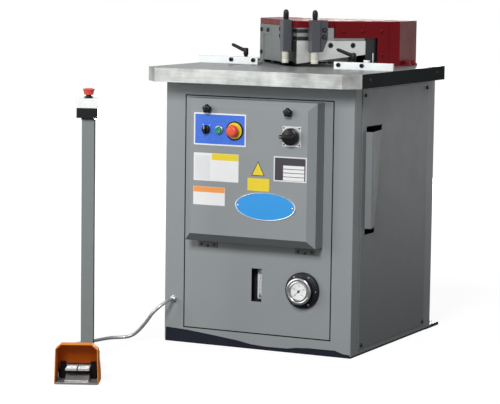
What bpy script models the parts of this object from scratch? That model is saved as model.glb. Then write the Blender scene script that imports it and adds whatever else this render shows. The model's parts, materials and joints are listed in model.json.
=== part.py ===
"""A hydraulic corner notching press on a sheet-metal cabinet, with a foot pedal station on a cable.

Metres, +Z up. The origin is on the floor, under the middle of the cabinet. The front looks along -Y.
"""

import math

import bmesh
import bpy
from mathutils import Matrix, Vector

# Gaps and overruns that all pieces share
SEAT_GAP = 0.0003
RUNNING_GAP = 0.001
OVERRUN = 0.002
WELD = 0.0006
COARSE_SIDES = 10
HEAD_SIDES = 8
MIDDLE_SIDES = 16
FINE_SIDES = 24
SMOOTH_ANGLE = math.radians(32)

# Cabinet
CABINET_WIDTH = 0.666
CABINET_DEPTH = 0.680
SHEET = 0.003
BASE_THICKNESS = 0.006
CABINET_TOP = 0.8547
TOP_FLANGE_WIDTH = 0.020
STILE_OPENING_WIDTH = 0.524
STILE_OPENING_BOTTOM = 0.0515
STILE_OPENING_TOP = 0.811
LIP_WIDTH = 0.015
LIP_FOOT = 0.005
SIDE_OPENING_MARGIN = 0.020
SKIRT_RISE = 0.046
SKIRT_SHARES = (
    (-1.02, 1.02), (-0.75, 0.93), (-0.45, 0.72), (-0.2, 0.52), (-0.05, 0.34), (0.1, 0.27),
    (0.34, 0.29), (0.43, 0.4), (0.57, 0.46), (0.84, 0.47), (0.92, 0.28), (1.02, 0.24),
)
PLINTH_HEIGHT = 0.0462
PLINTH_THICKNESS = 0.010
LUG_INNER_X = 0.270
LUG_REACH = 0.080
LUG_THICKNESS = 0.010
ANCHOR_RADIUS = 0.007

# Covers and panels
COVER_THICKNESS = 0.002
COVER_GAP = 0.001
BOX_OPENING_WIDTH = 0.400
BOX_OPENING_BOTTOM = 0.365
BOX_OPENING_TOP = 0.745
SIGHT_SLOT_CENTRE_X = 0.0005
SIGHT_SLOT_WIDTH = 0.0363
SIGHT_SLOT_BOTTOM = 0.156
SIGHT_SLOT_TOP = 0.263
SIDE_PANEL_THICKNESS = 0.0017
SIDE_PANEL_FRONT = -0.282
SIDE_PANEL_REAR = 0.272
SIDE_PANEL_BOTTOM = 0.022
SIDE_PANEL_TOP = 0.845
RIDGE_FRONT = -0.252
RIDGE_PEAK = -0.244
RIDGE_REAR_TOP = -0.109
RIDGE_REAR_BOTTOM = -0.160
RIDGE_HEIGHT = 0.022
RIDGE_TOP = 0.712
RIDGE_BOTTOM = 0.405
RIDGE_HOLE_TOP = 0.729
RIDGE_REAR_WALL_SHARE = 4.0
RIDGE_HOLE_BOTTOM = 0.385
REAR_PANEL_WIDTH = 0.600
REAR_PANEL_BOTTOM = 0.040
REAR_PANEL_TOP = 0.830
LOUVRE_COUNT = 6
LOUVRE_WIDTH = 0.180
LOUVRE_HEIGHT = 0.008
LOUVRE_PITCH = 0.024
LOUVRE_BOTTOM = 0.640
PANEL_SCREW_INSET_TOP = 0.017
PANEL_SCREW_INSET_BOTTOM = 0.011
PANEL_SCREW_INSET_FRONT = 0.020
PANEL_SCREW_INSET_REAR = 0.004
PANEL_SCREW_RADIUS = 0.0055
PANEL_SCREW_HEIGHT = 0.0035

# Table
TABLE_WIDTH = 0.750
TABLE_FRONT = -0.433
TABLE_REAR = 0.317
TABLE_BOTTOM = 0.855
TABLE_TOP = 0.900
TABLE_CHAMFER = 0.047
EDGE_HOLE_RADIUS = 0.005
EDGE_HOLE_DEPTH = 0.020
EDGE_HOLE_HEIGHT = 0.027
EDGE_HOLE_PLACES = (-0.325, 0.246)

# Head: lengths along each arm start at its apex, depths run out from the arm's face
APEX_Y = -0.062
HEAD_HALF_WIDTH = 0.259
HEAD_REAR = 0.345
HEAD_TOP = 1.049
HEAD_WALL = 0.008
BAND_BOTTOM = 1.027
BROW_START = 0.133
BROW_BOTTOM = 0.993
POST_START = 0.285
ARM_LENGTH = 0.366
CHEEK_THICKNESS = 0.006
CHEEK_END = 0.322
CHEEK_BOTTOM = 0.9106
CHEEK_TOP = 1.047
CHEEK_SCREWS = ((0.160, 1.015), (0.229, 1.015), (0.298, 1.015), (0.300, 0.936))
GUARD_START = 0.1335
GUARD_END = 0.350
GUARD_LEG_WIDTH = 0.033
GUARD_BOTTOM = 0.909
GUARD_TOP = 1.029
GUARD_POCKET_START = 0.215
GUARD_POCKET_END = 0.315
GUARD_POCKET_TOP = 0.9955
GUARD_POCKET_DEPTH = 0.002
GUARD_BOLTS = ((0.332, 1.011), (0.267, 1.011), (0.332, 0.934))
GUARD_BOLT_RADIUS = 0.0065
GUARD_BOLT_HEIGHT = 0.004
HEAD_BOLT_YS = (0.240, 0.290)
HEAD_FOOT = 0.006
HEAD_FOOT_REACH = 0.0216
HEAD_FOOT_HALF_DEPTH = 0.0126
HEAD_BOLT_RADIUS = 0.009
HEAD_BOLT_HEIGHT = 0.011

# Blades, ram and hydraulic cylinder
BLADE_LENGTH = 0.243
BLADE_THICKNESS = 0.020
BLADE_TOP = 0.984
BLADE_TIP_HEIGHT = 0.9087
BLADE_RAKE = 0.122
LOWER_BLADE_HEIGHT = 0.038
BLADE_BOLT_PLACES = (0.1195, 0.199)
BLADE_BOLT_HEIGHT = 0.9688
BLADE_BOLT_RADIUS = 0.0098
BLADE_BOLT_HEAD = 0.0105
BLADE_SHANK_RADIUS = 0.005
BLADE_SHANK_LENGTH = 0.022
RAM_TOP = 1.0265
RAM_SETBACK = 0.0105
RAM_END = 0.2445
RAM_END_DEPTH = 0.0315
RAM_REAR = 0.300
RAM_REAR_HALF_WIDTH = 0.140
NOSE_SETBACK = 0.001
NOSE_END = 0.131
HOLDER_BOTTOM = 0.940
HOLDER_REAR = 0.195
COLUMN_HALF_WIDTH = 0.060
COLUMN_FRONT = 0.225
COLUMN_REAR = 0.285
COLUMN_BOTTOM = 0.905
ROD_RADIUS = 0.025
ROD_BOTTOM = 0.700
CYLINDER_RADIUS = 0.060
CYLINDER_FLANGE_HALF_WIDTH = 0.075
CYLINDER_FLANGE_FRONT = 0.192
CYLINDER_FLANGE_THICKNESS = 0.020
CYLINDER_BOTTOM = 0.600
CYLINDER_FLOOR = 0.030
DROP_REAR = 0.200
DROP_REAR_HALF_WIDTH = 0.140
GUIDE_START = 0.246
GUIDE_END = 0.284
GUIDE_DEPTH = 0.030
GUIDE_TOP = 1.030

# Hold-downs on the ram
HOLD_START = 0.040
HOLD_MIDDLE = 0.070
HOLD_END = 0.100
HOLD_NEAR = 0.004
HOLD_FAR = 0.033
HOLD_BRACKET_FAR = 0.024
HOLD_BOTTOM = 0.948
HOLD_HEIGHT = 0.1046
HOLD_TAPER_START = 0.083
HOLD_TAPER_RISE = 0.040
HOLD_SPACER_START = 0.075
HOLD_SPACER_RISE = 0.0375
HOLD_SPACER_HEIGHT = 0.0395
HOLD_BOLT_PLACE = 0.087
HOLD_BOLT_RISES = (0.0726, 0.0495)
HOLD_BOLT_RADIUS = 0.0068
HOLD_BOLT_HEAD = 0.004
PAD_PLACE = 0.056
PAD_DEPTH = 0.0185
PAD_RADIUS = 0.0122
PAD_BOTTOM = 0.909
PAD_TRAVEL = 0.0345
ADJUSTER_RADIUS = 0.0085
ADJUSTER_HEIGHT = 0.033
ADJUSTER_STEM_RADIUS = 0.004
ADJUSTER_STEM_LENGTH = 0.015

# Fences with their clamping levers
FENCE_HEIGHT = 0.0245
FENCE_THICKNESS = 0.008
FENCE_LEG = 0.040
FENCE_RIGHT_START = 0.169
FENCE_RIGHT_FRONT = -0.140
FENCE_RIGHT_BACK_TRAVEL = 0.060
FENCE_RIGHT_FRONT_TRAVEL = 0.060
FENCE_LEFT_START = 0.153
FENCE_LEFT_FRONT = -0.040
FENCE_LEFT_BACK_TRAVEL = 0.030
FENCE_LEFT_FRONT_TRAVEL = 0.120
FENCE_BOLT_PLACES = (0.016, 0.098)
FENCE_BOLT_HEIGHT = 0.014
FENCE_BOLT_RADIUS = 0.0065
FENCE_BOLT_HEAD = 0.005
STUD_PLACE = 0.057
STUD_SETBACK = 0.028
STUD_RADIUS = 0.0048
STUD_NECK_RADIUS = 0.0038
STUD_TOP = 0.944
STUD_HEAD_SIZE = 0.022
STUD_HEAD_THICKNESS = 0.008
LEVER_HUB_RADIUS = 0.0085
LEVER_TOP = 0.953
LEVER_LENGTH = 0.062
LEVER_TIP_HEIGHT = 0.965
LEVER_ROOT_HEIGHT = 0.944
LEVER_ROOT_RADIUS = 0.0045
LEVER_TIP_RADIUS = 0.0062
LEVER_RIGHT_ANGLE = math.radians(180)
LEVER_LEFT_ANGLE = math.radians(168)
STOP_BLOCK_START = 0.268
STOP_BLOCK_WIDTH = 0.016
STOP_BLOCK_TOP = 0.932
STOP_PIN_PLACE = 0.294
STOP_PIN_RADIUS = 0.002
STOP_PIN_TOP = 0.955
STOP_SETBACK = 0.026
STOP_BLOCK_DEPTH = 0.014

# Door of the control box
DOOR_MARGIN = 0.031
DOOR_BOTTOM = 0.3475
DOOR_TOP = 0.8055
DOOR_RETURN = 0.055
DOOR_PROUD = 0.073
DOOR_CHAMFER = 0.0245
DOOR_WALL = 0.002
DOOR_GAP = 0.0006
HINGE_PROUD = 0.0037
HINGE_DROP = 0.0055
HINGE_KNUCKLE_RADIUS = 0.003
HINGE_LEAF_DROP = 0.0095
HINGE_LEAF_HEIGHT = 0.018
HINGE_LEAF_THICKNESS = 0.0015
HINGE_LEAF_WIDTH = 0.070
HINGE_LEFT_INSET = 0.054
HINGE_RIGHT_INSET = 0.060
HINGE_SCREW_RADIUS = 0.004
HINGE_SCREW_HEIGHT = 0.002
DOOR_KNOB_INSET = 0.0885
DOOR_KNOB_Z = 0.775
DOOR_KNOB_RADIUS = 0.015
DOOR_KNOB_HEIGHT = 0.022
DOOR_KNOB_STEM_RADIUS = 0.004
DOOR_KNOB_GRIPS = 5

# Controls on the door
PLATE_THICKNESS = 0.0015
CONTROL_INSET = 0.1295
CONTROL_CENTRE_Z = 0.710
CONTROL_WIDTH = 0.185
CONTROL_HEIGHT = 0.103
SELECTOR_SHIFT = -0.0475
BUTTON_ROW_Z = 0.7085
SELECTOR_RADIUS = 0.014
SELECTOR_HEIGHT = 0.009
SELECTOR_GRIP_WIDTH = 0.007
SELECTOR_GRIP_HEIGHT = 0.018
START_SHIFT = -0.0015
START_RADIUS = 0.011
START_COLLAR_RADIUS = 0.0145
START_HEIGHT = 0.012
BUTTON_DEPTH = 0.012
STOP_SHIFT = 0.053
STOP_RING_RADIUS = 0.030
STOP_RING_THICKNESS = 0.003
STOP_STEM_RADIUS = 0.011
STOP_CAP_RADIUS = 0.020
STOP_CAP_BASE = 0.012
STOP_CAP_HEIGHT = 0.030
STOP_TRAVEL = 0.005
SWITCH_INSET = 0.0785
SWITCH_Z = 0.6995
SWITCH_SIZE = 0.064
SWITCH_KNOB_RADIUS = 0.027
SWITCH_KNOB_HEIGHT = 0.014
SWITCH_GRIP_HEIGHT = 0.030
SWITCH_GRIP_WIDTH = 0.014
SWITCH_GRIP_REACH = 0.032
SWITCH_STEM_RADIUS = 0.005
BADGE_X = 0.063
BADGE_Z = 0.4735
BADGE_WIDTH = 0.212
BADGE_HEIGHT = 0.088
BADGE_THICKNESS = 0.003
BADGE_RIM = 0.004
BADGE_RIM_HEIGHT = 0.0012

# Pressure gauge
GAUGE_INSET = 0.096
GAUGE_Z = 0.2057
GAUGE_FLANGE_RADIUS = 0.058
GAUGE_FLANGE_THICKNESS = 0.012
GAUGE_CASE_RADIUS = 0.043
GAUGE_PROUD = 0.038
GAUGE_DIAL_RADIUS = 0.0285
GAUGE_DIAL_DEPTH = 0.006
GAUGE_STEM_RADIUS = 0.009
GAUGE_STEM_REACH = 0.022
GAUGE_SCREW_CIRCLE_RADIUS = 0.050
GAUGE_SCREW_RADIUS = 0.003
GAUGE_SCREW_HEIGHT = 0.002
GAUGE_SCREW_COUNT = 6
NEEDLE_LENGTH = 0.021
NEEDLE_TAIL = 0.009
NEEDLE_WIDTH = 0.0022
NEEDLE_THICKNESS = 0.0008
NEEDLE_HUB_RADIUS = 0.004
NEEDLE_LIFT = 0.002
NEEDLE_PIVOT_RADIUS = 0.0012
NEEDLE_PIVOT_DEPTH = 0.004
NEEDLE_REST_ANGLE = math.radians(225)

# Inside the cabinet
BOX_WALL = 0.002
BOX_DEPTH = 0.130
BOX_FLANGE = 0.012
MOUNTING_PLATE_MARGIN = 0.020
CONTACTOR_WIDTH = 0.045
CONTACTOR_HEIGHT = 0.080
CONTACTOR_DEPTH = 0.070
CONTACTOR_PITCH = 0.060
CONTACTOR_COUNT = 4
CONTACTOR_ROW_Z = 0.600
TERMINAL_WIDTH = 0.240
TERMINAL_HEIGHT = 0.045
TERMINAL_DEPTH = 0.040
TERMINAL_ROW_Z = 0.450
TANK_HALF_WIDTH = 0.240
TANK_SETBACK = 0.045
TANK_REAR = 0.150
TANK_TOP = 0.300
TANK_WALL = 0.003
FILLER_X = -0.190
FILLER_Y = 0.060
FILLER_RADIUS = 0.018
FILLER_CAP_RADIUS = 0.026
BREATHER_RADIUS = 0.004
FILLER_CAP_HEIGHT = 0.030
GLASS_WIDTH = 0.024
GLASS_HEIGHT = 0.100
GLASS_CENTRE_Z = 0.209
GLASS_DEPTH = 0.015
GLASS_WINDOW_WIDTH = 0.012
GLASS_WINDOW_BOTTOM = 0.196
GLASS_WINDOW_TOP = 0.231
MOTOR_AXIS_Y = -0.020
MOTOR_AXIS_Z = 0.374
MOTOR_RADIUS = 0.062
MOTOR_START = -0.200
MOTOR_END = 0.010
MOTOR_FOOT_WIDTH = 0.120
BELL_RADIUS = 0.0558
BELL_END_RADIUS = 0.048
MOTOR_FOOT_SHARE = 0.8
PUMP_FOOT_SHARE = 0.6
FOOT_INSET_SHARE = 0.2
BELL_LENGTH = 0.050
PUMP_RADIUS = 0.040
PUMP_LENGTH = 0.080
PUMP_FOOT_WIDTH = 0.070
CHUTE_HALF_WIDTH = 0.180
CHUTE_FRONT = -0.098
CHUTE_REAR = 0.176
CHUTE_WALL = 0.0015
CHUTE_THROAT = 0.600
CHUTE_OUTLET_BOTTOM = 0.400
CHUTE_SIDE_HEIGHT = 0.100

# Cable glands
FRONT_GLAND_X = -0.2993
FRONT_GLAND_Z = 0.141
GLAND_RADIUS = 0.011
GLAND_SIDES = 6
GLAND_FLATS_SHARE = 0.45
GLAND_LENGTH = 0.012
MAINS_GLAND_X = 0.240
MAINS_GLAND_RADIUS = 0.0125
MAINS_GLAND_LENGTH = 0.024
MAINS_GLAND_Z = 0.110
STATION_GLAND_Z = 0.024
STATION_GLAND_LENGTH = 0.0286

# Foot pedal station, in its own frame: across, back and up from its front centre
STATION_X = -0.200
STATION_Y = -1.130
STATION_TURN = math.radians(25)
STATION_WIDTH = 0.124
STATION_LENGTH = 0.380
STATION_PLATE = 0.006
STATION_WAIST_MARGIN = 0.004
STATION_EDGE_MARGIN = 0.001
STATION_TAPER = 0.040
PEDAL_GUARD_WIDTH = 0.131
PEDAL_GUARD_SHOULDER_WIDTH = 0.125
PEDAL_GUARD_SHOULDER = 0.105
PEDAL_GUARD_ROOF_WIDTH = 0.091
PEDAL_GUARD_ROOF = 0.120
PEDAL_GUARD_DEPTH = 0.090
PEDAL_GUARD_ROOF_DEPTH = 0.034
PEDAL_GUARD_SILL = 0.027
PEDAL_GUARD_SHEET = 0.0025
PEDAL_GUARD_BACK_EDGE = 0.052
REST_PLATE_WIDTH = 0.071
REST_PLATE_FRONT = 0.007
REST_PLATE_REAR = 0.060
REST_PLATE_THICKNESS = 0.004
TREADLE_WIDTH = 0.071
TREADLE_FRONT = 0.025
TREADLE_AXIS = 0.084
TREADLE_BOTTOM = 0.037
TREADLE_THICKNESS = 0.006
TREADLE_BARREL_RADIUS = 0.005
TREADLE_PIN_RADIUS = 0.002
TREADLE_LUG_WIDTH = 0.004
FOOT_SWITCH_FRONT = 0.092
FOOT_SWITCH_REAR = 0.240
FOOT_SWITCH_WIDTH = 0.090
FOOT_SWITCH_HEIGHT = 0.060
JUNCTION_REAR = 0.320
JUNCTION_HEIGHT = 0.045
POST_SIZE = 0.038
POST_WALL = 0.002
POST_CENTRE = 0.345
POST_TOP = 0.756
POST_FOOT_WIDTH = 0.060
POST_FOOT_THICKNESS = 0.004
POST_FOOT_MARGIN = 0.003
POST_CAP_THICKNESS = 0.006
STOP_BOX_WIDTH = 0.065
STOP_BOX_DEPTH = 0.070
STOP_BOX_SPLIT = 0.792
STOP_BOX_TOP = 0.8207
STOP_BOX_SCREW_RADIUS = 0.005
STOP_BOX_SCREW_HEIGHT = 0.002
STATION_COLLAR_RADIUS = 0.014
STATION_COLLAR_TOP = 0.8314
STATION_STEM_RADIUS = 0.009
STATION_BUTTON_NECK_RADIUS = 0.011
STATION_BUTTON_RADIUS = 0.019
STATION_BUTTON_TOP = 0.852

# The cable between the station and the cabinet
CABLE_RADIUS = 0.0057
CABLE_ROUND_STEPS = 2
CABLE_POINT_SPACING = 0.025
CABLE_ROUTE = (
    (-0.2993, -0.3523, 0.1410),
    (-0.2994, -0.3620, 0.1409),
    (-0.3020, -0.3779, 0.1386),
    (-0.3077, -0.3923, 0.1326),
    (-0.3168, -0.4035, 0.1232),
    (-0.3284, -0.4096, 0.1110),
    (-0.3425, -0.4096, 0.0970),
    (-0.3575, -0.4040, 0.0799),
    (-0.3765, -0.3975, 0.0590),
    (-0.4020, -0.3885, 0.0350),
    (-0.4250, -0.3835, 0.0180),
    (-0.4455, -0.3848, 0.0092),
    (-0.4660, -0.3925, 0.0062),
    (-0.4850, -0.4085, 0.0060),
    (-0.4970, -0.4320, 0.0060),
    (-0.5045, -0.4600, 0.0060),
    (-0.5140, -0.5060, 0.0060),
    (-0.5260, -0.5550, 0.0060),
    (-0.5365, -0.6000, 0.0060),
    (-0.5365, -0.6370, 0.0060),
    (-0.5200, -0.6700, 0.0060),
    (-0.4890, -0.6900, 0.0060),
    (-0.4540, -0.6950, 0.0068),
    (-0.4240, -0.7020, 0.0105),
    (-0.4000, -0.7180, 0.0165),
    (-0.3810, -0.7440, 0.0225),
    (-0.3660, -0.7739, 0.0240),
)

# Finishes: colour as seen in ordinary light (red, green, blue), roughness, metallic
GREY_PAINT = ((0.57, 0.59, 0.60), 0.45, 0.0)
DARK_PAINT = ((0.16, 0.16, 0.20), 0.55, 0.0)
RED_PAINT = ((0.46, 0.08, 0.11), 0.40, 0.0)
GUARD_GREY = ((0.50, 0.52, 0.51), 0.45, 0.1)
BRIGHT_STEEL = ((0.86, 0.87, 0.87), 0.25, 1.0)
GROUND_STEEL = ((0.75, 0.75, 0.74), 0.35, 1.0)
DARK_STEEL = ((0.36, 0.36, 0.40), 0.45, 0.8)
BLACK_STEEL = ((0.06, 0.06, 0.07), 0.40, 0.6)
BLACK_PLASTIC = ((0.05, 0.05, 0.06), 0.40, 0.0)
BEIGE_NYLON = ((0.83, 0.82, 0.72), 0.50, 0.0)
BLUE_PLATE = ((0.24, 0.43, 0.80), 0.35, 0.0)
BADGE_BLUE = ((0.24, 0.63, 0.90), 0.30, 0.3)
WHITE_FILM = ((0.94, 0.94, 0.93), 0.45, 0.0)
GREEN_PLASTIC = ((0.10, 0.55, 0.38), 0.35, 0.0)
RED_PLASTIC = ((0.85, 0.25, 0.20), 0.35, 0.0)
ORANGE_PAINT = ((0.88, 0.55, 0.24), 0.45, 0.0)
CLEAR_GLASS = ((0.80, 0.84, 0.80), 0.15, 0.0)
CABLE_GREY = ((0.70, 0.71, 0.72), 0.50, 0.0)

# Places worked out from the sizes above
FRONT = -CABINET_DEPTH / 2
REAR = CABINET_DEPTH / 2
HALF_WIDTH = CABINET_WIDTH / 2
COVER_HALF_WIDTH = STILE_OPENING_WIDTH / 2 - COVER_GAP
COVER_BOTTOM = STILE_OPENING_BOTTOM + COVER_GAP
COVER_TOP = STILE_OPENING_TOP - COVER_GAP
DOOR_HALF_WIDTH = COVER_HALF_WIDTH - DOOR_MARGIN
HINGE_CENTRES = (HINGE_LEFT_INSET - DOOR_HALF_WIDTH, DOOR_HALF_WIDTH - HINGE_RIGHT_INSET)
HINGE_Y = FRONT - HINGE_PROUD
HINGE_Z = DOOR_BOTTOM - HINGE_DROP
HINGE_LEAF_TOP = DOOR_BOTTOM - HINGE_LEAF_DROP
HINGE_LEAF_BOTTOM = HINGE_LEAF_TOP - HINGE_LEAF_HEIGHT
DOOR_KNOB_X = DOOR_HALF_WIDTH - DOOR_KNOB_INSET
SWITCH_X = DOOR_HALF_WIDTH - SWITCH_INSET
CONTROL_CENTRE_X = CONTROL_INSET - DOOR_HALF_WIDTH
SELECTOR_X = CONTROL_CENTRE_X + SELECTOR_SHIFT
START_X = CONTROL_CENTRE_X + START_SHIFT
STOP_X = CONTROL_CENTRE_X + STOP_SHIFT
GAUGE_X = COVER_HALF_WIDTH - GAUGE_INSET
TANK_FRONT = FRONT + TANK_SETBACK
HOLD_TOP = HOLD_BOTTOM + HOLD_HEIGHT
DOOR_BACK = FRONT - DOOR_GAP
DOOR_FACE = FRONT - DOOR_PROUD
PLATE_BACK = DOOR_FACE - SEAT_GAP
PLATE_FRONT = PLATE_BACK - PLATE_THICKNESS
CONTROL_FRONT = PLATE_FRONT - SEAT_GAP
TABLE_SEAT = TABLE_TOP + SEAT_GAP
CASE_BACK = FRONT - SEAT_GAP - GAUGE_FLANGE_THICKNESS - SEAT_GAP
CASE_FRONT = FRONT - GAUGE_PROUD
DIAL_FACE = CASE_FRONT + GAUGE_DIAL_DEPTH
COLUMN_Y = (COLUMN_FRONT + COLUMN_REAR) / 2
POST_REAR = POST_CENTRE + POST_SIZE / 2
STUD_RIGHT = (FENCE_RIGHT_START + STUD_PLACE, FENCE_RIGHT_FRONT + STUD_SETBACK)
STUD_LEFT = (-FENCE_LEFT_START - STUD_PLACE, FENCE_LEFT_FRONT + STUD_SETBACK)
LEG_TOP = TABLE_SEAT + FENCE_THICKNESS

WORLD = Matrix.Identity(4)
DIAGONAL = math.sqrt(0.5)
ARM_RIGHT = Matrix((
    (DIAGONAL, DIAGONAL, 0, 0),
    (DIAGONAL, -DIAGONAL, 0, APEX_Y),
    (0, 0, 1, 0),
    (0, 0, 0, 1),
))
ARM_LEFT = Matrix.Scale(-1, 4, Vector((1, 0, 0))) @ ARM_RIGHT
ARMS = {"right": ARM_RIGHT, "left": ARM_LEFT}
STATION = Matrix.Translation((STATION_X, STATION_Y, 0)) @ Matrix.Rotation(STATION_TURN, 4, "Z")


def clear_scene():
    for thing in list(bpy.data.objects):
        bpy.data.objects.remove(thing, do_unlink=True)


def linear(channel):
    """The linear value of one channel of a colour as seen."""
    return ((channel + 0.055) / 1.055) ** 2.4 if channel > 0.04045 else channel / 12.92


def material(name, finish):
    """A material of its own for one sub-part."""
    colour, roughness, metallic = finish
    made = bpy.data.materials.new(name)
    made.use_nodes = True
    shader = made.node_tree.nodes["Principled BSDF"]
    shader.inputs["Base Color"].default_value = [*map(linear, colour), 1]
    shader.inputs["Roughness"].default_value = roughness
    shader.inputs["Metallic"].default_value = metallic
    return made


def settled(bm, frame=WORLD):
    """The shape put in its place, with its faces pointing out."""
    bmesh.ops.transform(bm, matrix=frame, verts=bm.verts)
    bmesh.ops.recalc_face_normals(bm, faces=bm.faces)
    return bm


def block(low, high, frame=WORLD):
    """A box between two corners."""
    low, high = Vector(low), Vector(high)
    bm = bmesh.new()
    bmesh.ops.create_cube(bm, size=1, matrix=Matrix.LocRotScale((low + high) / 2, None, high - low))
    return settled(bm, frame)


def loft(rings, frame=WORLD):
    """A solid through matching rings of points, each ring extruded into the next."""
    bm = bmesh.new()
    cap = bm.faces.new([bm.verts.new(point) for point in rings[0]])
    for number, ring in enumerate(rings[1:]):
        made = bmesh.ops.extrude_face_region(bm, geom=[cap])["geom"]
        if number:
            bmesh.ops.delete(bm, geom=[cap], context="FACES_ONLY")
        cap = next(item for item in made if isinstance(item, bmesh.types.BMFace))
        for vert, point in zip(cap.verts, ring):
            vert.co = point
    return settled(bm, frame)


def prism(outline, axis, start, end, frame=WORLD):
    """An outline in the plane across an axis, extruded along it."""
    order = {"X": (2, 0, 1), "Y": (0, 2, 1), "Z": (0, 1, 2)}[axis]
    rings = []
    for reach in (start, end):
        rings.append([[(*point, reach)[place] for place in order] for point in outline])
    return loft(rings, frame)


def turned(profile, centre, axis=(0, 0, 1), sides=MIDDLE_SIDES, frame=WORLD, ring=False):
    """A profile of (radius, reach along the axis) points, spun round the axis. A ring's profile is closed."""
    bm = bmesh.new()
    verts = [bm.verts.new((radius, 0, reach)) for radius, reach in profile]
    pairs = list(zip(verts, verts[1:]))
    if ring:
        pairs.append((verts[-1], verts[0]))
    edges = [bm.edges.new(pair) for pair in pairs]
    bmesh.ops.spin(bm, geom=verts + edges, axis=(0, 0, 1), angle=math.tau, steps=sides, use_merge=True)
    bmesh.ops.remove_doubles(bm, verts=bm.verts, dist=WELD / 100)
    turn = Vector(axis).to_track_quat("Z", "Y").to_matrix().to_4x4()
    return settled(bm, frame @ Matrix.Translation(centre) @ turn)


def rod(start, end, radius, sides=MIDDLE_SIDES, frame=WORLD, end_radius=None):
    """A round bar between two points."""
    start, end = Vector(start), Vector(end)
    length = (end - start).length
    profile = ((0, 0), (radius, 0), (radius if end_radius is None else end_radius, length), (0, length))
    return turned(profile, start, end - start, sides, frame)


def world_place(thing):
    place = Vector(thing.location)
    while thing.parent:
        thing = thing.parent
        place += thing.location
    return place


def hold(name, bm, origin, parent):
    """An object with this shape, its origin at the given place, under its parent."""
    mesh = bpy.data.meshes.new(name)
    bmesh.ops.translate(bm, verts=bm.verts, vec=-Vector(origin))
    bm.to_mesh(mesh)
    bm.free()
    mesh.shade_smooth()
    mesh.set_sharp_from_angle(angle=SMOOTH_ANGLE)
    thing = bpy.data.objects.new(name, mesh)
    bpy.context.scene.collection.objects.link(thing)
    thing.parent = parent
    thing.location = Vector(origin) - (world_place(parent) if parent else Vector())
    return thing


def piece(name, finish, shape, joined=(), cuts=(), added=(), origin=(0, 0, 0), parent=None):
    """One sub-part: a shape, what is joined to it, the cuts made in both, and what is added uncut."""
    body = hold(name, shape, origin, parent)
    body.data.materials.append(material(name, finish))
    work = [("UNION", other) for other in joined] + [("DIFFERENCE", other) for other in cuts]
    work += [("UNION", other) for other in added]
    for number, (operation, other) in enumerate(work):
        helper = hold(f"{name}_{operation.lower()}_{number}", other, origin, body)
        helper.location = (0, 0, 0)
        helper.hide_render = True
        helper.display_type = "WIRE"
        step = body.modifiers.new(helper.name, "BOOLEAN")
        step.operation = operation
        step.solver = "EXACT"
        step.object = helper
    return body


def flipped(outline):
    """An outline mirrored to the other side."""
    return [(-across, up) for across, up in reversed(outline)]


def on_arm(along, depth, side="right"):
    """The place in plan of a point given along an arm and out from its face."""
    point = ARMS[side] @ Vector((along, depth, 0))
    return point.x, point.y


def both_arms(points):
    """A closed outline in plan from its right half, given from front to rear."""
    right = [on_arm(*point) if kind == "arm" else point for kind, point in points]
    left = [(-across, back) for across, back in reversed(right) if across]
    return right + left


def mitred(bm, side):
    """The shape with all that lies past the middle plane cut off, and a small gap kept to that plane."""
    sign = 1 if side == "right" else -1
    cut = bmesh.ops.bisect_plane(
        bm, geom=bm.verts[:] + bm.edges[:] + bm.faces[:], dist=0, plane_co=(sign * SEAT_GAP / 2, 0, 0),
        plane_no=(-sign, 0, 0), clear_outer=True,
    )["geom_cut"]
    bmesh.ops.holes_fill(bm, edges=[item for item in cut if isinstance(item, bmesh.types.BMEdge)])
    return settled(bm)


def base_frame():
    """The black base: floor plate, front plinth and the rear lugs with their anchor holes."""
    edge = HALF_WIDTH - RUNNING_GAP
    front = FRONT + SHEET + SEAT_GAP
    plate = block((-edge, front, 0), (edge, REAR - SHEET - SEAT_GAP, BASE_THICKNESS))
    plinth_edge = HALF_WIDTH - SHEET - SEAT_GAP
    plinth = block(
        (-plinth_edge, front, BASE_THICKNESS - WELD),
        (plinth_edge, front + PLINTH_THICKNESS, PLINTH_HEIGHT),
    )
    joined = [plinth]
    holes = []
    lug_start = REAR - LUG_REACH / 2
    for side in (-1, 1):
        inner, outer = sorted((side * LUG_INNER_X, side * (HALF_WIDTH + RUNNING_GAP)))
        joined.append(block((inner, lug_start, 0), (outer, REAR - SHEET - SEAT_GAP, BASE_THICKNESS)))
        joined.append(block((inner, REAR + SEAT_GAP, 0), (outer, REAR + LUG_REACH, LUG_THICKNESS)))
        joined.append(block(
            (inner, REAR - LUG_REACH / 2, 0), (outer, REAR + LUG_REACH / 2, BASE_THICKNESS)
        ))
        middle = ((inner + outer) / 2, REAR + LUG_REACH / 2)
        holes.append(rod((*middle, -OVERRUN), (*middle, LUG_THICKNESS + OVERRUN), ANCHOR_RADIUS))
    piece("base_frame", DARK_PAINT, plate, joined, holes)


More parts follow.
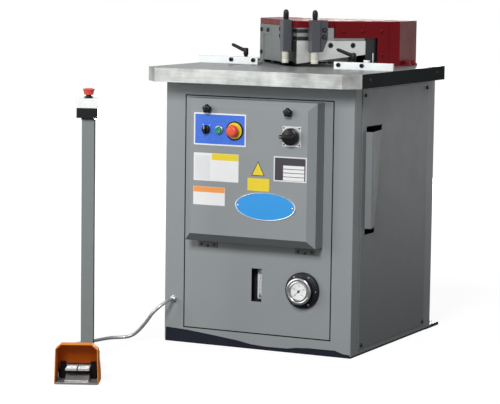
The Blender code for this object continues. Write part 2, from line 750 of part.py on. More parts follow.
def cabinet_frame():
    """The welded sheet-metal body, open at the front, the sides, the rear and the top."""
    bottom = BASE_THICKNESS + SEAT_GAP
    shell = block((-HALF_WIDTH, FRONT, bottom), (HALF_WIDTH, REAR, CABINET_TOP))
    inner = block(
        (-HALF_WIDTH + SHEET, FRONT + SHEET, bottom - OVERRUN),
        (HALF_WIDTH - SHEET, REAR - SHEET, CABINET_TOP - SHEET),
    )
    top_hole = block(
        (-HALF_WIDTH + TOP_FLANGE_WIDTH, FRONT + TOP_FLANGE_WIDTH, CABINET_TOP - SHEET - OVERRUN),
        (HALF_WIDTH - TOP_FLANGE_WIDTH, REAR - TOP_FLANGE_WIDTH, CABINET_TOP + OVERRUN),
    )
    half = STILE_OPENING_WIDTH / 2
    front_hole = block(
        (-half, FRONT - OVERRUN, STILE_OPENING_BOTTOM), (half, FRONT + SHEET + OVERRUN, STILE_OPENING_TOP)
    )
    side_hole = block(
        (
            -HALF_WIDTH - OVERRUN, SIDE_PANEL_FRONT + SIDE_OPENING_MARGIN,
            SIDE_PANEL_BOTTOM + SIDE_OPENING_MARGIN,
        ),
        (HALF_WIDTH + OVERRUN, SIDE_PANEL_REAR - SIDE_OPENING_MARGIN, SIDE_PANEL_TOP - SIDE_OPENING_MARGIN),
    )
    rear_half = REAR_PANEL_WIDTH / 2 - SIDE_OPENING_MARGIN
    rear_hole = block(
        (-rear_half, REAR - SHEET - OVERRUN, REAR_PANEL_BOTTOM + SIDE_OPENING_MARGIN),
        (rear_half, REAR + OVERRUN, REAR_PANEL_TOP - SIDE_OPENING_MARGIN),
    )
    skirt = [(across * HALF_WIDTH, rise * SKIRT_RISE) for across, rise in SKIRT_SHARES]
    below = [(skirt[-1][0], -OVERRUN), (skirt[0][0], -OVERRUN)]
    skirt_cut = prism(skirt + below, "Y", FRONT - OVERRUN, FRONT + SHEET - WELD / 2)
    skirt_back = prism(
        [(max(-HALF_WIDTH + SHEET, min(HALF_WIDTH - SHEET, across)), up) for across, up in skirt + below],
        "Y", FRONT + SHEET - WELD, FRONT + SHEET + OVERRUN,
    )
    piece(
        "cabinet_frame", GREY_PAINT, shell,
        cuts=[inner, top_hole, front_hole, side_hole, rear_hole, skirt_cut, skirt_back],
        added=lip_bars(),
    )


def lip_bars():
    """The strips welded behind the front opening, which the front cover is screwed to."""
    half = STILE_OPENING_WIDTH / 2
    low, high = STILE_OPENING_BOTTOM, STILE_OPENING_TOP
    near = FRONT + SHEET - WELD
    far = FRONT + SHEET * 2
    bars = [
        block((-half - LIP_WIDTH, near, low - LIP_FOOT), (half + LIP_WIDTH, far, low + LIP_WIDTH)),
        block((-half - LIP_WIDTH, near, high - LIP_WIDTH), (half + LIP_WIDTH, far, high + LIP_WIDTH)),
    ]
    for side in (-1, 1):
        inner, outer = sorted((side * (half - LIP_WIDTH), side * (half + LIP_WIDTH)))
        bars.append(block((inner, near, low), (outer, far, high)))
    return bars


def door_knob_places():
    return [(side * DOOR_KNOB_X, DOOR_KNOB_Z) for side in (-1, 1)]


def front_cover():
    """The flat cover that fills the front opening, with its cut-outs."""
    half = COVER_HALF_WIDTH
    back = FRONT + COVER_THICKNESS
    plate = block((-half, FRONT, COVER_BOTTOM), (half, back, COVER_TOP))
    box_hole = block(
        (-BOX_OPENING_WIDTH / 2, FRONT - OVERRUN, BOX_OPENING_BOTTOM),
        (BOX_OPENING_WIDTH / 2, back + OVERRUN, BOX_OPENING_TOP),
    )
    slot_half = SIGHT_SLOT_WIDTH / 2
    slot = block(
        (SIGHT_SLOT_CENTRE_X - slot_half, FRONT - OVERRUN, SIGHT_SLOT_BOTTOM),
        (SIGHT_SLOT_CENTRE_X + slot_half, back + OVERRUN, SIGHT_SLOT_TOP),
    )
    near = FRONT - OVERRUN
    far = back + OVERRUN
    stem = rod((GAUGE_X, near, GAUGE_Z), (GAUGE_X, far, GAUGE_Z), GAUGE_STEM_RADIUS + RUNNING_GAP)
    holes = [
        rod((x, near, z), (x, far, z), DOOR_KNOB_STEM_RADIUS + RUNNING_GAP, COARSE_SIDES)
        for x, z in door_knob_places()
    ]
    piece("front_cover", GREY_PAINT, plate, cuts=[box_hole, slot, stem, *holes])


def side_panel(side):
    """A screwed side panel with a pressed ridge that opens at its top and bottom for air."""
    sign = 1 if side == "right" else -1
    inner = HALF_WIDTH + SEAT_GAP
    outer = inner + SIDE_PANEL_THICKNESS
    wall = SIDE_PANEL_THICKNESS
    plate = block(
        (inner, SIDE_PANEL_FRONT, SIDE_PANEL_BOTTOM), (outer, SIDE_PANEL_REAR, SIDE_PANEL_TOP)
    )
    foot = inner + WELD
    peak = outer + RIDGE_HEIGHT

    def chevron(height, rear):
        return [
            (foot, RIDGE_FRONT, height), (peak, RIDGE_PEAK, height), (foot, rear, height),
            (foot, rear - wall * RIDGE_REAR_WALL_SHARE, height),
            (peak - wall * 2, RIDGE_PEAK + wall, height), (foot, RIDGE_FRONT + wall * 2, height),
        ]

    ridge = loft([chevron(RIDGE_BOTTOM, RIDGE_REAR_BOTTOM), chevron(RIDGE_TOP, RIDGE_REAR_TOP)])
    behind = wall * RIDGE_REAR_WALL_SHARE * 2
    window = prism(
        [
            (RIDGE_FRONT + wall, RIDGE_HOLE_BOTTOM), (RIDGE_REAR_BOTTOM - behind, RIDGE_HOLE_BOTTOM),
            (RIDGE_REAR_TOP - behind, RIDGE_HOLE_TOP), (RIDGE_FRONT + wall, RIDGE_HOLE_TOP),
        ],
        "X", inner - OVERRUN, outer + OVERRUN,
    )
    if sign < 0:
        for shape in (plate, ridge, window):
            bmesh.ops.transform(shape, matrix=Matrix.Scale(-1, 4, Vector((1, 0, 0))), verts=shape.verts)
            bmesh.ops.recalc_face_normals(shape, faces=shape.faces)
    piece(f"side_panel_{side}", GREY_PAINT, plate, cuts=[window], added=[ridge, *side_panel_heads(side)])


def rear_panel():
    """The rear panel with its louvre slots and the outlet of the scrap chute."""
    half = REAR_PANEL_WIDTH / 2
    near = REAR + SEAT_GAP
    far = near + COVER_THICKNESS
    plate = block((-half, near, REAR_PANEL_BOTTOM), (half, far, REAR_PANEL_TOP))
    cuts = []
    for row in range(LOUVRE_COUNT):
        bottom = LOUVRE_BOTTOM + row * LOUVRE_PITCH
        cuts.append(block(
            (-LOUVRE_WIDTH / 2, near - OVERRUN, bottom),
            (LOUVRE_WIDTH / 2, far + OVERRUN, bottom + LOUVRE_HEIGHT),
        ))
    outlet_half = CHUTE_HALF_WIDTH + RUNNING_GAP
    cuts.append(block(
        (-outlet_half, near - OVERRUN, CHUTE_OUTLET_BOTTOM - RUNNING_GAP),
        (outlet_half, far + OVERRUN, CHUTE_OUTLET_BOTTOM + CHUTE_SIDE_HEIGHT + RUNNING_GAP),
    ))
    place = (MAINS_GLAND_X, far - WELD, MAINS_GLAND_Z)
    inlet = gland(place, (0, 1, 0), MAINS_GLAND_RADIUS, MAINS_GLAND_LENGTH)
    piece("rear_panel", GREY_PAINT, plate, cuts=cuts, added=[*rear_panel_heads(far), *inlet])


def dome(place, axis, radius, height, sides=HEAD_SIDES, frame=WORLD):
    """A round screw head with a slightly domed top."""
    crown = radius * 0.6
    profile = ((0, 0), (radius, 0), (radius, height * 0.6), (crown, height), (0, height))
    return turned(profile, place, axis, sides, frame)


def sunk(place, axis, radius, height, frame=WORLD):
    """A screw head that starts just inside the face it sits on."""
    start = Vector(place) - Vector(axis) * WELD
    return dome(start, axis, radius, height + WELD, frame=frame)


def side_panel_heads(side):
    sign = 1 if side == "right" else -1
    outer = sign * (HALF_WIDTH + SEAT_GAP + SIDE_PANEL_THICKNESS)
    low = SIDE_PANEL_BOTTOM + PANEL_SCREW_INSET_BOTTOM
    high = SIDE_PANEL_TOP - PANEL_SCREW_INSET_TOP
    front = SIDE_PANEL_FRONT + PANEL_SCREW_INSET_FRONT
    rear = SIDE_PANEL_REAR - PANEL_SCREW_INSET_REAR - PANEL_SCREW_RADIUS
    return [
        sunk((outer, y, z), (sign, 0, 0), PANEL_SCREW_RADIUS, PANEL_SCREW_HEIGHT)
        for y in (front, rear) for z in (low, high)
    ]


def rear_panel_heads(back):
    inset = PANEL_SCREW_INSET_TOP
    across = REAR_PANEL_WIDTH / 2 - inset
    return [
        sunk((side * across, back, z), (0, 1, 0), PANEL_SCREW_RADIUS, PANEL_SCREW_HEIGHT)
        for side in (-1, 1) for z in (REAR_PANEL_BOTTOM + inset, REAR_PANEL_TOP - inset)
    ]


def guard_heads(places, frame):
    front = SEAT_GAP + CHEEK_THICKNESS
    return [
        sunk((along, front, height), (0, 1, 0), GUARD_BOLT_RADIUS, GUARD_BOLT_HEIGHT, frame)
        for along, height in places
    ]


def gauge_flange_heads():
    front = FRONT - SEAT_GAP - GAUGE_FLANGE_THICKNESS
    heads = []
    for number in range(GAUGE_SCREW_COUNT):
        turn = math.tau * number / GAUGE_SCREW_COUNT
        x = GAUGE_X + GAUGE_SCREW_CIRCLE_RADIUS * math.cos(turn)
        z = GAUGE_Z + GAUGE_SCREW_CIRCLE_RADIUS * math.sin(turn)
        heads.append(sunk((x, front, z), (0, -1, 0), GAUGE_SCREW_RADIUS, GAUGE_SCREW_HEIGHT))
    return heads


def drop_outline(clearance):
    """The scrap opening between the blades, in plan."""
    return both_arms([
        ("plan", on_axis(clearance)),
        ("arm", (RAM_END + clearance, clearance)),
        ("arm", (RAM_END + clearance, -RAM_END_DEPTH - clearance)),
        ("plan", (DROP_REAR_HALF_WIDTH, DROP_REAR)),
    ])


def on_axis(depth):
    """The point where a line along an arm, at this depth out from its face, meets the middle plane."""
    return 0, APEX_Y - depth / DIAGONAL


def table():
    """The thick steel table with its slots, blade seats, scrap opening and ram opening."""
    half = TABLE_WIDTH / 2
    outline = [
        (-half, TABLE_FRONT + TABLE_CHAMFER), (-half + TABLE_CHAMFER, TABLE_FRONT),
        (half - TABLE_CHAMFER, TABLE_FRONT), (half, TABLE_FRONT + TABLE_CHAMFER),
        (half, TABLE_REAR), (-half, TABLE_REAR),
    ]
    top = prism(outline, "Z", TABLE_BOTTOM, TABLE_TOP)
    drop = prism(drop_outline(RUNNING_GAP), "Z", TABLE_BOTTOM - OVERRUN, TABLE_TOP + OVERRUN)
    far = BLADE_THICKNESS + SEAT_GAP * 2
    seat_outline = both_arms([
        ("plan", on_axis(far)), ("arm", (BLADE_LENGTH + SEAT_GAP, far)),
        ("arm", (BLADE_LENGTH + SEAT_GAP, -WELD)), ("plan", on_axis(-WELD)),
    ])
    seat_floor = TABLE_TOP - LOWER_BLADE_HEIGHT - SEAT_GAP
    seat = prism(seat_outline, "Z", seat_floor, TABLE_TOP + OVERRUN)
    column = block(
        (-COLUMN_HALF_WIDTH - RUNNING_GAP, COLUMN_FRONT - RUNNING_GAP, TABLE_BOTTOM - OVERRUN),
        (COLUMN_HALF_WIDTH + RUNNING_GAP, COLUMN_REAR + RUNNING_GAP, TABLE_TOP + OVERRUN),
    )
    cuts = [drop, seat, column]
    slot_half = STUD_RADIUS + RUNNING_GAP / 2
    slots = (
        (STUD_RIGHT, FENCE_RIGHT_FRONT_TRAVEL, FENCE_RIGHT_BACK_TRAVEL),
        (STUD_LEFT, FENCE_LEFT_FRONT_TRAVEL, FENCE_LEFT_BACK_TRAVEL),
    )
    for (x, y), forward, backward in slots:
        cuts.append(block(
            (x - slot_half, y - forward - slot_half, TABLE_BOTTOM - OVERRUN),
            (x + slot_half, y + backward + slot_half, TABLE_TOP + OVERRUN),
        ))
    height = TABLE_BOTTOM + EDGE_HOLE_HEIGHT
    for side in (-1, 1):
        for y in EDGE_HOLE_PLACES:
            cuts.append(rod(
                (side * (half - EDGE_HOLE_DEPTH), y, height), (side * (half + OVERRUN), y, height),
                EDGE_HOLE_RADIUS, COARSE_SIDES,
            ))
    piece("table", GROUND_STEEL, top, cuts=cuts)


def lower_blades():
    """The two fixed blades in their seats, mitred where they meet."""
    for side, frame in ARMS.items():
        bar = block(
            (-BLADE_THICKNESS * 2, SEAT_GAP, TABLE_TOP - LOWER_BLADE_HEIGHT),
            (BLADE_LENGTH, BLADE_THICKNESS, TABLE_TOP), frame,
        )
        piece(f"lower_blade_{side}", BRIGHT_STEEL, mitred(bar, side))


def head_housing():
    """The red housing: a closed top, rear and sides, and cut-away faces along both arms."""
    outline = both_arms([
        ("plan", on_axis(0)), ("arm", (ARM_LENGTH, 0)), ("plan", (HEAD_HALF_WIDTH, HEAD_REAR)),
    ])
    shell = prism(outline, "Z", TABLE_SEAT, HEAD_TOP)
    inside = both_arms([
        ("plan", on_axis(-HEAD_WALL)),
        ("plan", (HEAD_HALF_WIDTH - HEAD_WALL, on_arm(ARM_LENGTH, 0)[1] + HEAD_WALL * (1 / DIAGONAL - 1))),
        ("plan", (HEAD_HALF_WIDTH - HEAD_WALL, HEAD_REAR - HEAD_WALL)),
    ])
    hollow = prism(inside, "Z", TABLE_SEAT - OVERRUN, HEAD_TOP - HEAD_WALL)
    cuts = [hollow]
    for side, frame in ARMS.items():
        post = POST_START if side == "right" else GUARD_END - GUARD_LEG_WIDTH
        face = [
            (-HEAD_WALL * 3, TABLE_SEAT - OVERRUN), (post, TABLE_SEAT - OVERRUN),
            (post, BROW_BOTTOM), (BROW_START, BROW_BOTTOM), (BROW_START, BAND_BOTTOM),
            (-HEAD_WALL * 3, BAND_BOTTOM),
        ]
        cuts.append(prism(face, "Y", -HEAD_WALL - OVERRUN, HEAD_WALL, frame))
    piece("head_housing", RED_PAINT, shell, cuts=cuts, added=housing_feet())


def housing_feet():
    """The small feet at the rear of the housing, with their bolts into the table."""
    shapes = []
    top = TABLE_SEAT + HEAD_FOOT
    for side in (-1, 1):
        inner, outer = sorted((side * (HEAD_HALF_WIDTH - WELD), side * (HEAD_HALF_WIDTH + HEAD_FOOT_REACH)))
        for y in HEAD_BOLT_YS:
            shapes.append(block(
                (inner, y - HEAD_FOOT_HALF_DEPTH, TABLE_SEAT), (outer, y + HEAD_FOOT_HALF_DEPTH, top)
            ))
            middle = side * (HEAD_HALF_WIDTH + HEAD_BOLT_RADIUS + RUNNING_GAP)
            shapes.append(sunk((middle, y, top), (0, 0, 1), HEAD_BOLT_RADIUS, HEAD_BOLT_HEIGHT))
    return shapes


def cheek_plate():
    """The red plate screwed on the right arm, an inverted L round the blade."""
    outline = [
        (BROW_START, CHEEK_TOP), (BROW_START, BROW_BOTTOM), (POST_START, BROW_BOTTOM),
        (POST_START, CHEEK_BOTTOM), (CHEEK_END, CHEEK_BOTTOM), (CHEEK_END, CHEEK_TOP),
    ]
    plate = prism(outline, "Y", SEAT_GAP, SEAT_GAP + CHEEK_THICKNESS, ARM_RIGHT)
    piece("cheek_plate_right", RED_PAINT, plate, guard_heads(CHEEK_SCREWS, ARM_RIGHT))


def guard_plate():
    """The grey guard bolted on the left arm, with its shallow pocket and a leg down to the table."""
    front = SEAT_GAP + CHEEK_THICKNESS
    leg = GUARD_END - GUARD_LEG_WIDTH
    outline = [
        (GUARD_START, GUARD_TOP), (GUARD_START, GUARD_BOTTOM), (leg, GUARD_BOTTOM), (leg, TABLE_SEAT),
        (GUARD_END, TABLE_SEAT), (GUARD_END, GUARD_TOP),
    ]
    plate = prism(outline, "Y", SEAT_GAP, front, ARM_LEFT)
    pocket = block(
        (GUARD_POCKET_START, front - GUARD_POCKET_DEPTH, GUARD_BOTTOM - OVERRUN),
        (GUARD_POCKET_END, front + OVERRUN, GUARD_POCKET_TOP), ARM_LEFT,
    )
    piece("guard_plate_left", GUARD_GREY, plate, cuts=[pocket], added=guard_heads(GUARD_BOLTS, ARM_LEFT))


def blade_bolts_and_holes():
    """The sunk socket screws of the upper blades, and the clearance that they need."""
    bolts = []
    holes = []
    back = -BLADE_BOLT_HEAD - RUNNING_GAP
    for frame in ARMS.values():
        for along in BLADE_BOLT_PLACES:
            for grow, made in ((0, bolts), (SEAT_GAP, holes)):
                front = OVERRUN if grow else -RUNNING_GAP
                radius = BLADE_BOLT_RADIUS + grow
                shank = BLADE_SHANK_RADIUS + grow
                tip = back - BLADE_SHANK_LENGTH - grow
                shoulder = back - grow
                profile = (
                    (0, tip), (shank, tip), (shank, shoulder), (radius, shoulder), (radius, front), (0, front)
                )
                centre = (along, 0, BLADE_BOLT_HEIGHT)
                made.append(turned(profile, centre, (0, 1, 0), COARSE_SIDES, frame))
    return bolts, holes


def upper_blades():
    """The two raked blades that the ram carries, mitred where they meet."""
    for side, frame in ARMS.items():
        start = -BLADE_THICKNESS * 2
        outline = [
            (start, BLADE_TIP_HEIGHT + BLADE_RAKE * start), (start, BLADE_TOP), (BLADE_LENGTH, BLADE_TOP),
            (BLADE_LENGTH, BLADE_TIP_HEIGHT + BLADE_RAKE * BLADE_LENGTH),
        ]
        bar = mitred(prism(outline, "Y", -BLADE_THICKNESS, 0, frame), side)
        holes = blade_bolts_and_holes()[1]
        mine = holes[:2] if side == "right" else holes[2:]
        piece(f"upper_blade_{side}", BRIGHT_STEEL, bar, cuts=mine)


def ram():
    """The moving body: its slab, the nose under the red band, the blade holder, the column and its rod."""
    bottom = BLADE_TOP + SEAT_GAP
    slab = prism(
        both_arms([
            ("plan", on_axis(-RAM_SETBACK)), ("arm", (RAM_END, -RAM_SETBACK)),
            ("arm", (RAM_END, -RAM_END_DEPTH)), ("plan", (RAM_REAR_HALF_WIDTH, RAM_REAR)),
        ]),
        "Z", bottom, RAM_TOP,
    )
    nose = prism(
        both_arms([
            ("plan", on_axis(-NOSE_SETBACK)), ("arm", (NOSE_END, -NOSE_SETBACK)),
            ("arm", (NOSE_END, -RAM_SETBACK - WELD)), ("plan", on_axis(-RAM_SETBACK - WELD)),
        ]),
        "Z", bottom, RAM_TOP,
    )
    behind = BLADE_THICKNESS + SEAT_GAP
    holder = prism(
        both_arms([
            ("plan", on_axis(-behind)), ("arm", (RAM_END - RUNNING_GAP, -behind)),
            ("arm", (RAM_END - RUNNING_GAP, -RAM_END_DEPTH)),
            ("plan", (DROP_REAR_HALF_WIDTH - RUNNING_GAP * 3, HOLDER_REAR)),
        ]),
        "Z", HOLDER_BOTTOM, bottom + WELD,
    )
    column = block(
        (-COLUMN_HALF_WIDTH, COLUMN_FRONT, COLUMN_BOTTOM), (COLUMN_HALF_WIDTH, COLUMN_REAR, bottom + WELD)
    )
    piston_rod = rod((0, COLUMN_Y, ROD_BOTTOM), (0, COLUMN_Y, COLUMN_BOTTOM + WELD), ROD_RADIUS, FINE_SIDES)
    joined = [nose, holder, column, piston_rod, *blade_bolts_and_holes()[0]]
    piece("ram", DARK_STEEL, slab, joined)


def hydraulic_cylinder():
    """The cylinder that hangs under the table and pulls the ram down."""
    top = TABLE_BOTTOM - SEAT_GAP
    flange = block(
        (-CYLINDER_FLANGE_HALF_WIDTH, CYLINDER_FLANGE_FRONT, top - CYLINDER_FLANGE_THICKNESS),
        (CYLINDER_FLANGE_HALF_WIDTH, COLUMN_Y * 2 - CYLINDER_FLANGE_FRONT, top),
    )
    barrel = rod((0, COLUMN_Y, CYLINDER_BOTTOM), (0, COLUMN_Y, top - WELD), CYLINDER_RADIUS, FINE_SIDES)
    bore = rod(
        (0, COLUMN_Y, CYLINDER_BOTTOM + CYLINDER_FLOOR), (0, COLUMN_Y, top + OVERRUN),
        ROD_RADIUS + RUNNING_GAP / 2, FINE_SIDES,
    )
    piece("hydraulic_cylinder", DARK_STEEL, flange, [barrel], [bore])


def ram_guides():
    """The fixed guide blocks at the outer ends of the blades."""
    for side, frame in ARMS.items():
        guide = block(
            (GUIDE_START, -GUIDE_DEPTH, TABLE_SEAT), (GUIDE_END, -HEAD_WALL - SEAT_GAP, GUIDE_TOP), frame
        )
        piece(f"ram_guide_{side}", BLACK_STEEL, guide)


def hold_down(side):
    """A spring hold-down on the ram: its block, its pad and the adjuster on top."""
    frame = ARMS[side]
    body = block((HOLD_START, HOLD_NEAR, HOLD_BOTTOM), (HOLD_MIDDLE, HOLD_FAR, HOLD_TOP), frame)
    bracket_outline = [
        (HOLD_MIDDLE - WELD, HOLD_TOP), (HOLD_MIDDLE - WELD, HOLD_BOTTOM), (HOLD_TAPER_START, HOLD_BOTTOM),
        (HOLD_END, HOLD_BOTTOM + HOLD_TAPER_RISE), (HOLD_END, HOLD_TOP),
    ]
    bracket = prism(bracket_outline, "Y", HOLD_NEAR, HOLD_BRACKET_FAR, frame)
    spacer_bottom = HOLD_BOTTOM + HOLD_SPACER_RISE
    spacer = block(
        (HOLD_SPACER_START, SEAT_GAP - NOSE_SETBACK, spacer_bottom),
        (HOLD_END, HOLD_NEAR + WELD, spacer_bottom + HOLD_SPACER_HEIGHT), frame,
    )
    centre = Vector((*on_arm(PAD_PLACE, PAD_DEPTH, side), 0))
    up = Vector((0, 0, 1))
    pad_top = HOLD_BOTTOM - SEAT_GAP
    bore = rod(
        centre + up * (HOLD_BOTTOM - OVERRUN), centre + up * (HOLD_BOTTOM + PAD_TRAVEL + RUNNING_GAP),
        PAD_RADIUS + RUNNING_GAP / 2,
    )
    stem_bottom = HOLD_TOP - ADJUSTER_STEM_LENGTH
    stem_hole = rod(
        centre + up * (stem_bottom - RUNNING_GAP), centre + up * (HOLD_TOP + OVERRUN),
        ADJUSTER_STEM_RADIUS + SEAT_GAP, COARSE_SIDES,
    )
    block_piece = piece(
        f"hold_down_block_{side}", DARK_STEEL, body, [bracket, spacer], [bore, stem_hole],
        hold_down_bolts(frame),
    )
    pad = rod(centre + up * PAD_BOTTOM, centre + up * pad_top, PAD_RADIUS)
    piece(
        f"hold_down_pad_{side}", BEIGE_NYLON, pad, origin=centre + up * pad_top, parent=block_piece
    )
    seat = HOLD_TOP + SEAT_GAP
    height = ADJUSTER_HEIGHT
    radius = ADJUSTER_RADIUS
    profile = (
        (0, -ADJUSTER_STEM_LENGTH), (ADJUSTER_STEM_RADIUS, -ADJUSTER_STEM_LENGTH), (ADJUSTER_STEM_RADIUS, 0),
        (radius, 0), (radius, height * 0.72), (radius * 0.8, height * 0.92), (radius * 0.4, height),
        (0, height),
    )
    place = centre + up * seat
    piece(
        f"hold_down_adjuster_{side}", BLACK_PLASTIC, turned(profile, place), origin=place, parent=block_piece
    )


def hold_down_bolts(frame):
    """The heads of the bolts that fasten a hold-down block to the ram."""
    return [
        sunk(
            (HOLD_BOLT_PLACE, HOLD_BRACKET_FAR, HOLD_BOTTOM + rise), (0, 1, 0), HOLD_BOLT_RADIUS,
            HOLD_BOLT_HEAD, frame,
        )
        for rise in HOLD_BOLT_RISES
    ]


def fence(side):
    """One angle fence with its screws, its clamping stud through the table and its lever."""
    sign = 1 if side == "right" else -1
    start = FENCE_RIGHT_START if side == "right" else FENCE_LEFT_START
    front = FENCE_RIGHT_FRONT if side == "right" else FENCE_LEFT_FRONT
    stud_x, stud_y = STUD_RIGHT if side == "right" else STUD_LEFT
    angle = LEVER_RIGHT_ANGLE if side == "right" else LEVER_LEFT_ANGLE
    low, high = sorted((sign * start, sign * TABLE_WIDTH / 2))
    outline = [
        (front, TABLE_SEAT), (front + FENCE_LEG, TABLE_SEAT), (front + FENCE_LEG, LEG_TOP),
        (front + FENCE_THICKNESS, LEG_TOP), (front + FENCE_THICKNESS, TABLE_SEAT + FENCE_HEIGHT),
        (front, TABLE_SEAT + FENCE_HEIGHT),
    ]
    bar = prism(outline, "X", low, high)
    stud_hole = rod(
        (stud_x, stud_y, TABLE_SEAT - OVERRUN), (stud_x, stud_y, LEG_TOP + OVERRUN),
        STUD_RADIUS + RUNNING_GAP / 2, COARSE_SIDES,
    )
    sockets = []
    screws = []
    for place in FENCE_BOLT_PLACES:
        x = sign * (start + place)
        z = TABLE_SEAT + FENCE_BOLT_HEIGHT
        sockets.append(rod((x, front - OVERRUN, z), (x, front + FENCE_BOLT_HEAD, z), FENCE_BOLT_RADIUS))
        screws.append(rod(
            (x, front + FENCE_BOLT_HEAD / 3, z), (x, front + FENCE_BOLT_HEAD + WELD, z),
            FENCE_BOLT_RADIUS * 0.8, COARSE_SIDES,
        ))
    stops = fence_stop() if side == "right" else []
    bar_piece = piece(f"fence_{side}", BRIGHT_STEEL, bar, [], [stud_hole, *sockets], [*screws, *stops])
    neck_start = LEG_TOP + SEAT_GAP
    half = STUD_HEAD_SIZE / 2
    head_top = TABLE_BOTTOM - SEAT_GAP
    head = block(
        (stud_x - half, stud_y - half, head_top - STUD_HEAD_THICKNESS),
        (stud_x + half, stud_y + half, head_top),
    )
    shank = rod((stud_x, stud_y, head_top - WELD), (stud_x, stud_y, neck_start), STUD_RADIUS, COARSE_SIDES)
    neck = rod(
        (stud_x, stud_y, neck_start - WELD), (stud_x, stud_y, STUD_TOP), STUD_NECK_RADIUS, COARSE_SIDES
    )
    pivot = (stud_x, stud_y, neck_start)
    radius = LEVER_HUB_RADIUS
    hub_height = LEVER_TOP - neck_start - SEAT_GAP
    profile = (
        (0, 0), (radius, 0), (radius, hub_height * 0.78), (radius * 0.75, hub_height * 0.94), (0, hub_height)
    )
    hub = turned(profile, (stud_x, stud_y, neck_start + SEAT_GAP))
    reach = Vector((math.cos(angle), math.sin(angle), 0))
    root = Vector((stud_x, stud_y, LEVER_ROOT_HEIGHT))
    tip = root + reach * LEVER_LENGTH
    tip.z = LEVER_TIP_HEIGHT
    arm = rod(root, tip, LEVER_ROOT_RADIUS, COARSE_SIDES, end_radius=LEVER_TIP_RADIUS)
    bore = rod(
        (stud_x, stud_y, neck_start - OVERRUN), (stud_x, stud_y, STUD_TOP + SEAT_GAP),
        STUD_NECK_RADIUS + SEAT_GAP, COARSE_SIDES,
    )
    piece(f"clamp_lever_{side}", BLACK_PLASTIC, hub, [arm], [bore], origin=pivot, parent=bar_piece)
    piece(f"fence_stud_{side}", DARK_STEEL, head, [shank, neck], parent=bar_piece)


def fence_stop():
    """The small block and pin on the right fence that a sheet is set against."""
    y = FENCE_RIGHT_FRONT + STOP_SETBACK
    seat = LEG_TOP - WELD
    stop_block = block(
        (STOP_BLOCK_START, y - STOP_BLOCK_DEPTH, seat),
        (STOP_BLOCK_START + STOP_BLOCK_WIDTH, y, STOP_BLOCK_TOP),
    )
    pin = rod((STOP_PIN_PLACE, y, seat), (STOP_PIN_PLACE, y, STOP_PIN_TOP), STOP_PIN_RADIUS, COARSE_SIDES)
    return [stop_block, pin]


def control_holes(reach_back):
    """The openings in the door for its push buttons and switches."""
    start = CONTROL_FRONT - START_HEIGHT
    holes = []
    for x, z, radius in (
        (START_X, BUTTON_ROW_Z, START_RADIUS), (STOP_X, BUTTON_ROW_Z, STOP_STEM_RADIUS),
        (SELECTOR_X, BUTTON_ROW_Z, SWITCH_STEM_RADIUS), (SWITCH_X, SWITCH_Z, SWITCH_STEM_RADIUS),
    ):
        holes.append(rod((x, start, z), (x, reach_back, z), radius + RUNNING_GAP / 2, COARSE_SIDES * 2))
    return holes


def door_shell():
    """The bottom-hinged door: a hollow tray with a chamfered front."""

    def ring(y, inset):
        edge = DOOR_HALF_WIDTH - inset
        return [
            (-edge, y, DOOR_BOTTOM + inset), (edge, y, DOOR_BOTTOM + inset),
            (edge, y, DOOR_TOP - inset), (-edge, y, DOOR_TOP - inset),
        ]

    bend = FRONT - DOOR_RETURN
    tray = loft([ring(DOOR_BACK, 0), ring(bend, 0), ring(DOOR_FACE, DOOR_CHAMFER)])
    wall = DOOR_WALL
    hollow = loft([
        ring(DOOR_BACK + OVERRUN, wall), ring(bend, wall), ring(DOOR_FACE + wall, DOOR_CHAMFER + wall)
    ])
    holes = control_holes(DOOR_FACE + wall + OVERRUN)
    for x, z in door_knob_places():
        holes.append(rod(
            (x, DOOR_FACE - OVERRUN, z), (x, DOOR_FACE + wall + OVERRUN, z),
            DOOR_KNOB_STEM_RADIUS + RUNNING_GAP / 2, COARSE_SIDES,
        ))
    leaves = []
    pin_holes = []
    for x in HINGE_CENTRES:
        half = HINGE_LEAF_WIDTH / 6 - RUNNING_GAP
        strip = block(
            (x - half, HINGE_Y - DOOR_RETURN / 2, DOOR_BOTTOM - HINGE_LEAF_THICKNESS),
            (x + half, HINGE_Y, DOOR_BOTTOM + WELD),
        )
        knuckle = rod(
            (x - half, HINGE_Y, HINGE_Z), (x + half, HINGE_Y, HINGE_Z), HINGE_KNUCKLE_RADIUS, COARSE_SIDES
        )
        web = block(
            (x - half, HINGE_Y - HINGE_LEAF_THICKNESS / 2, HINGE_Z),
            (x + half, HINGE_Y + HINGE_LEAF_THICKNESS / 2, DOOR_BOTTOM + WELD),
        )
        leaves += [strip, knuckle, web]
        pin_holes.append(rod(
            (x - half - OVERRUN, HINGE_Y, HINGE_Z), (x + half + OVERRUN, HINGE_Y, HINGE_Z),
            HINGE_KNUCKLE_RADIUS / 2 + SEAT_GAP, COARSE_SIDES,
        ))
    origin = (0, HINGE_Y, HINGE_Z)
    return piece("door_shell", GREY_PAINT, tray, leaves, [hollow, *holes, *pin_holes], origin=origin)


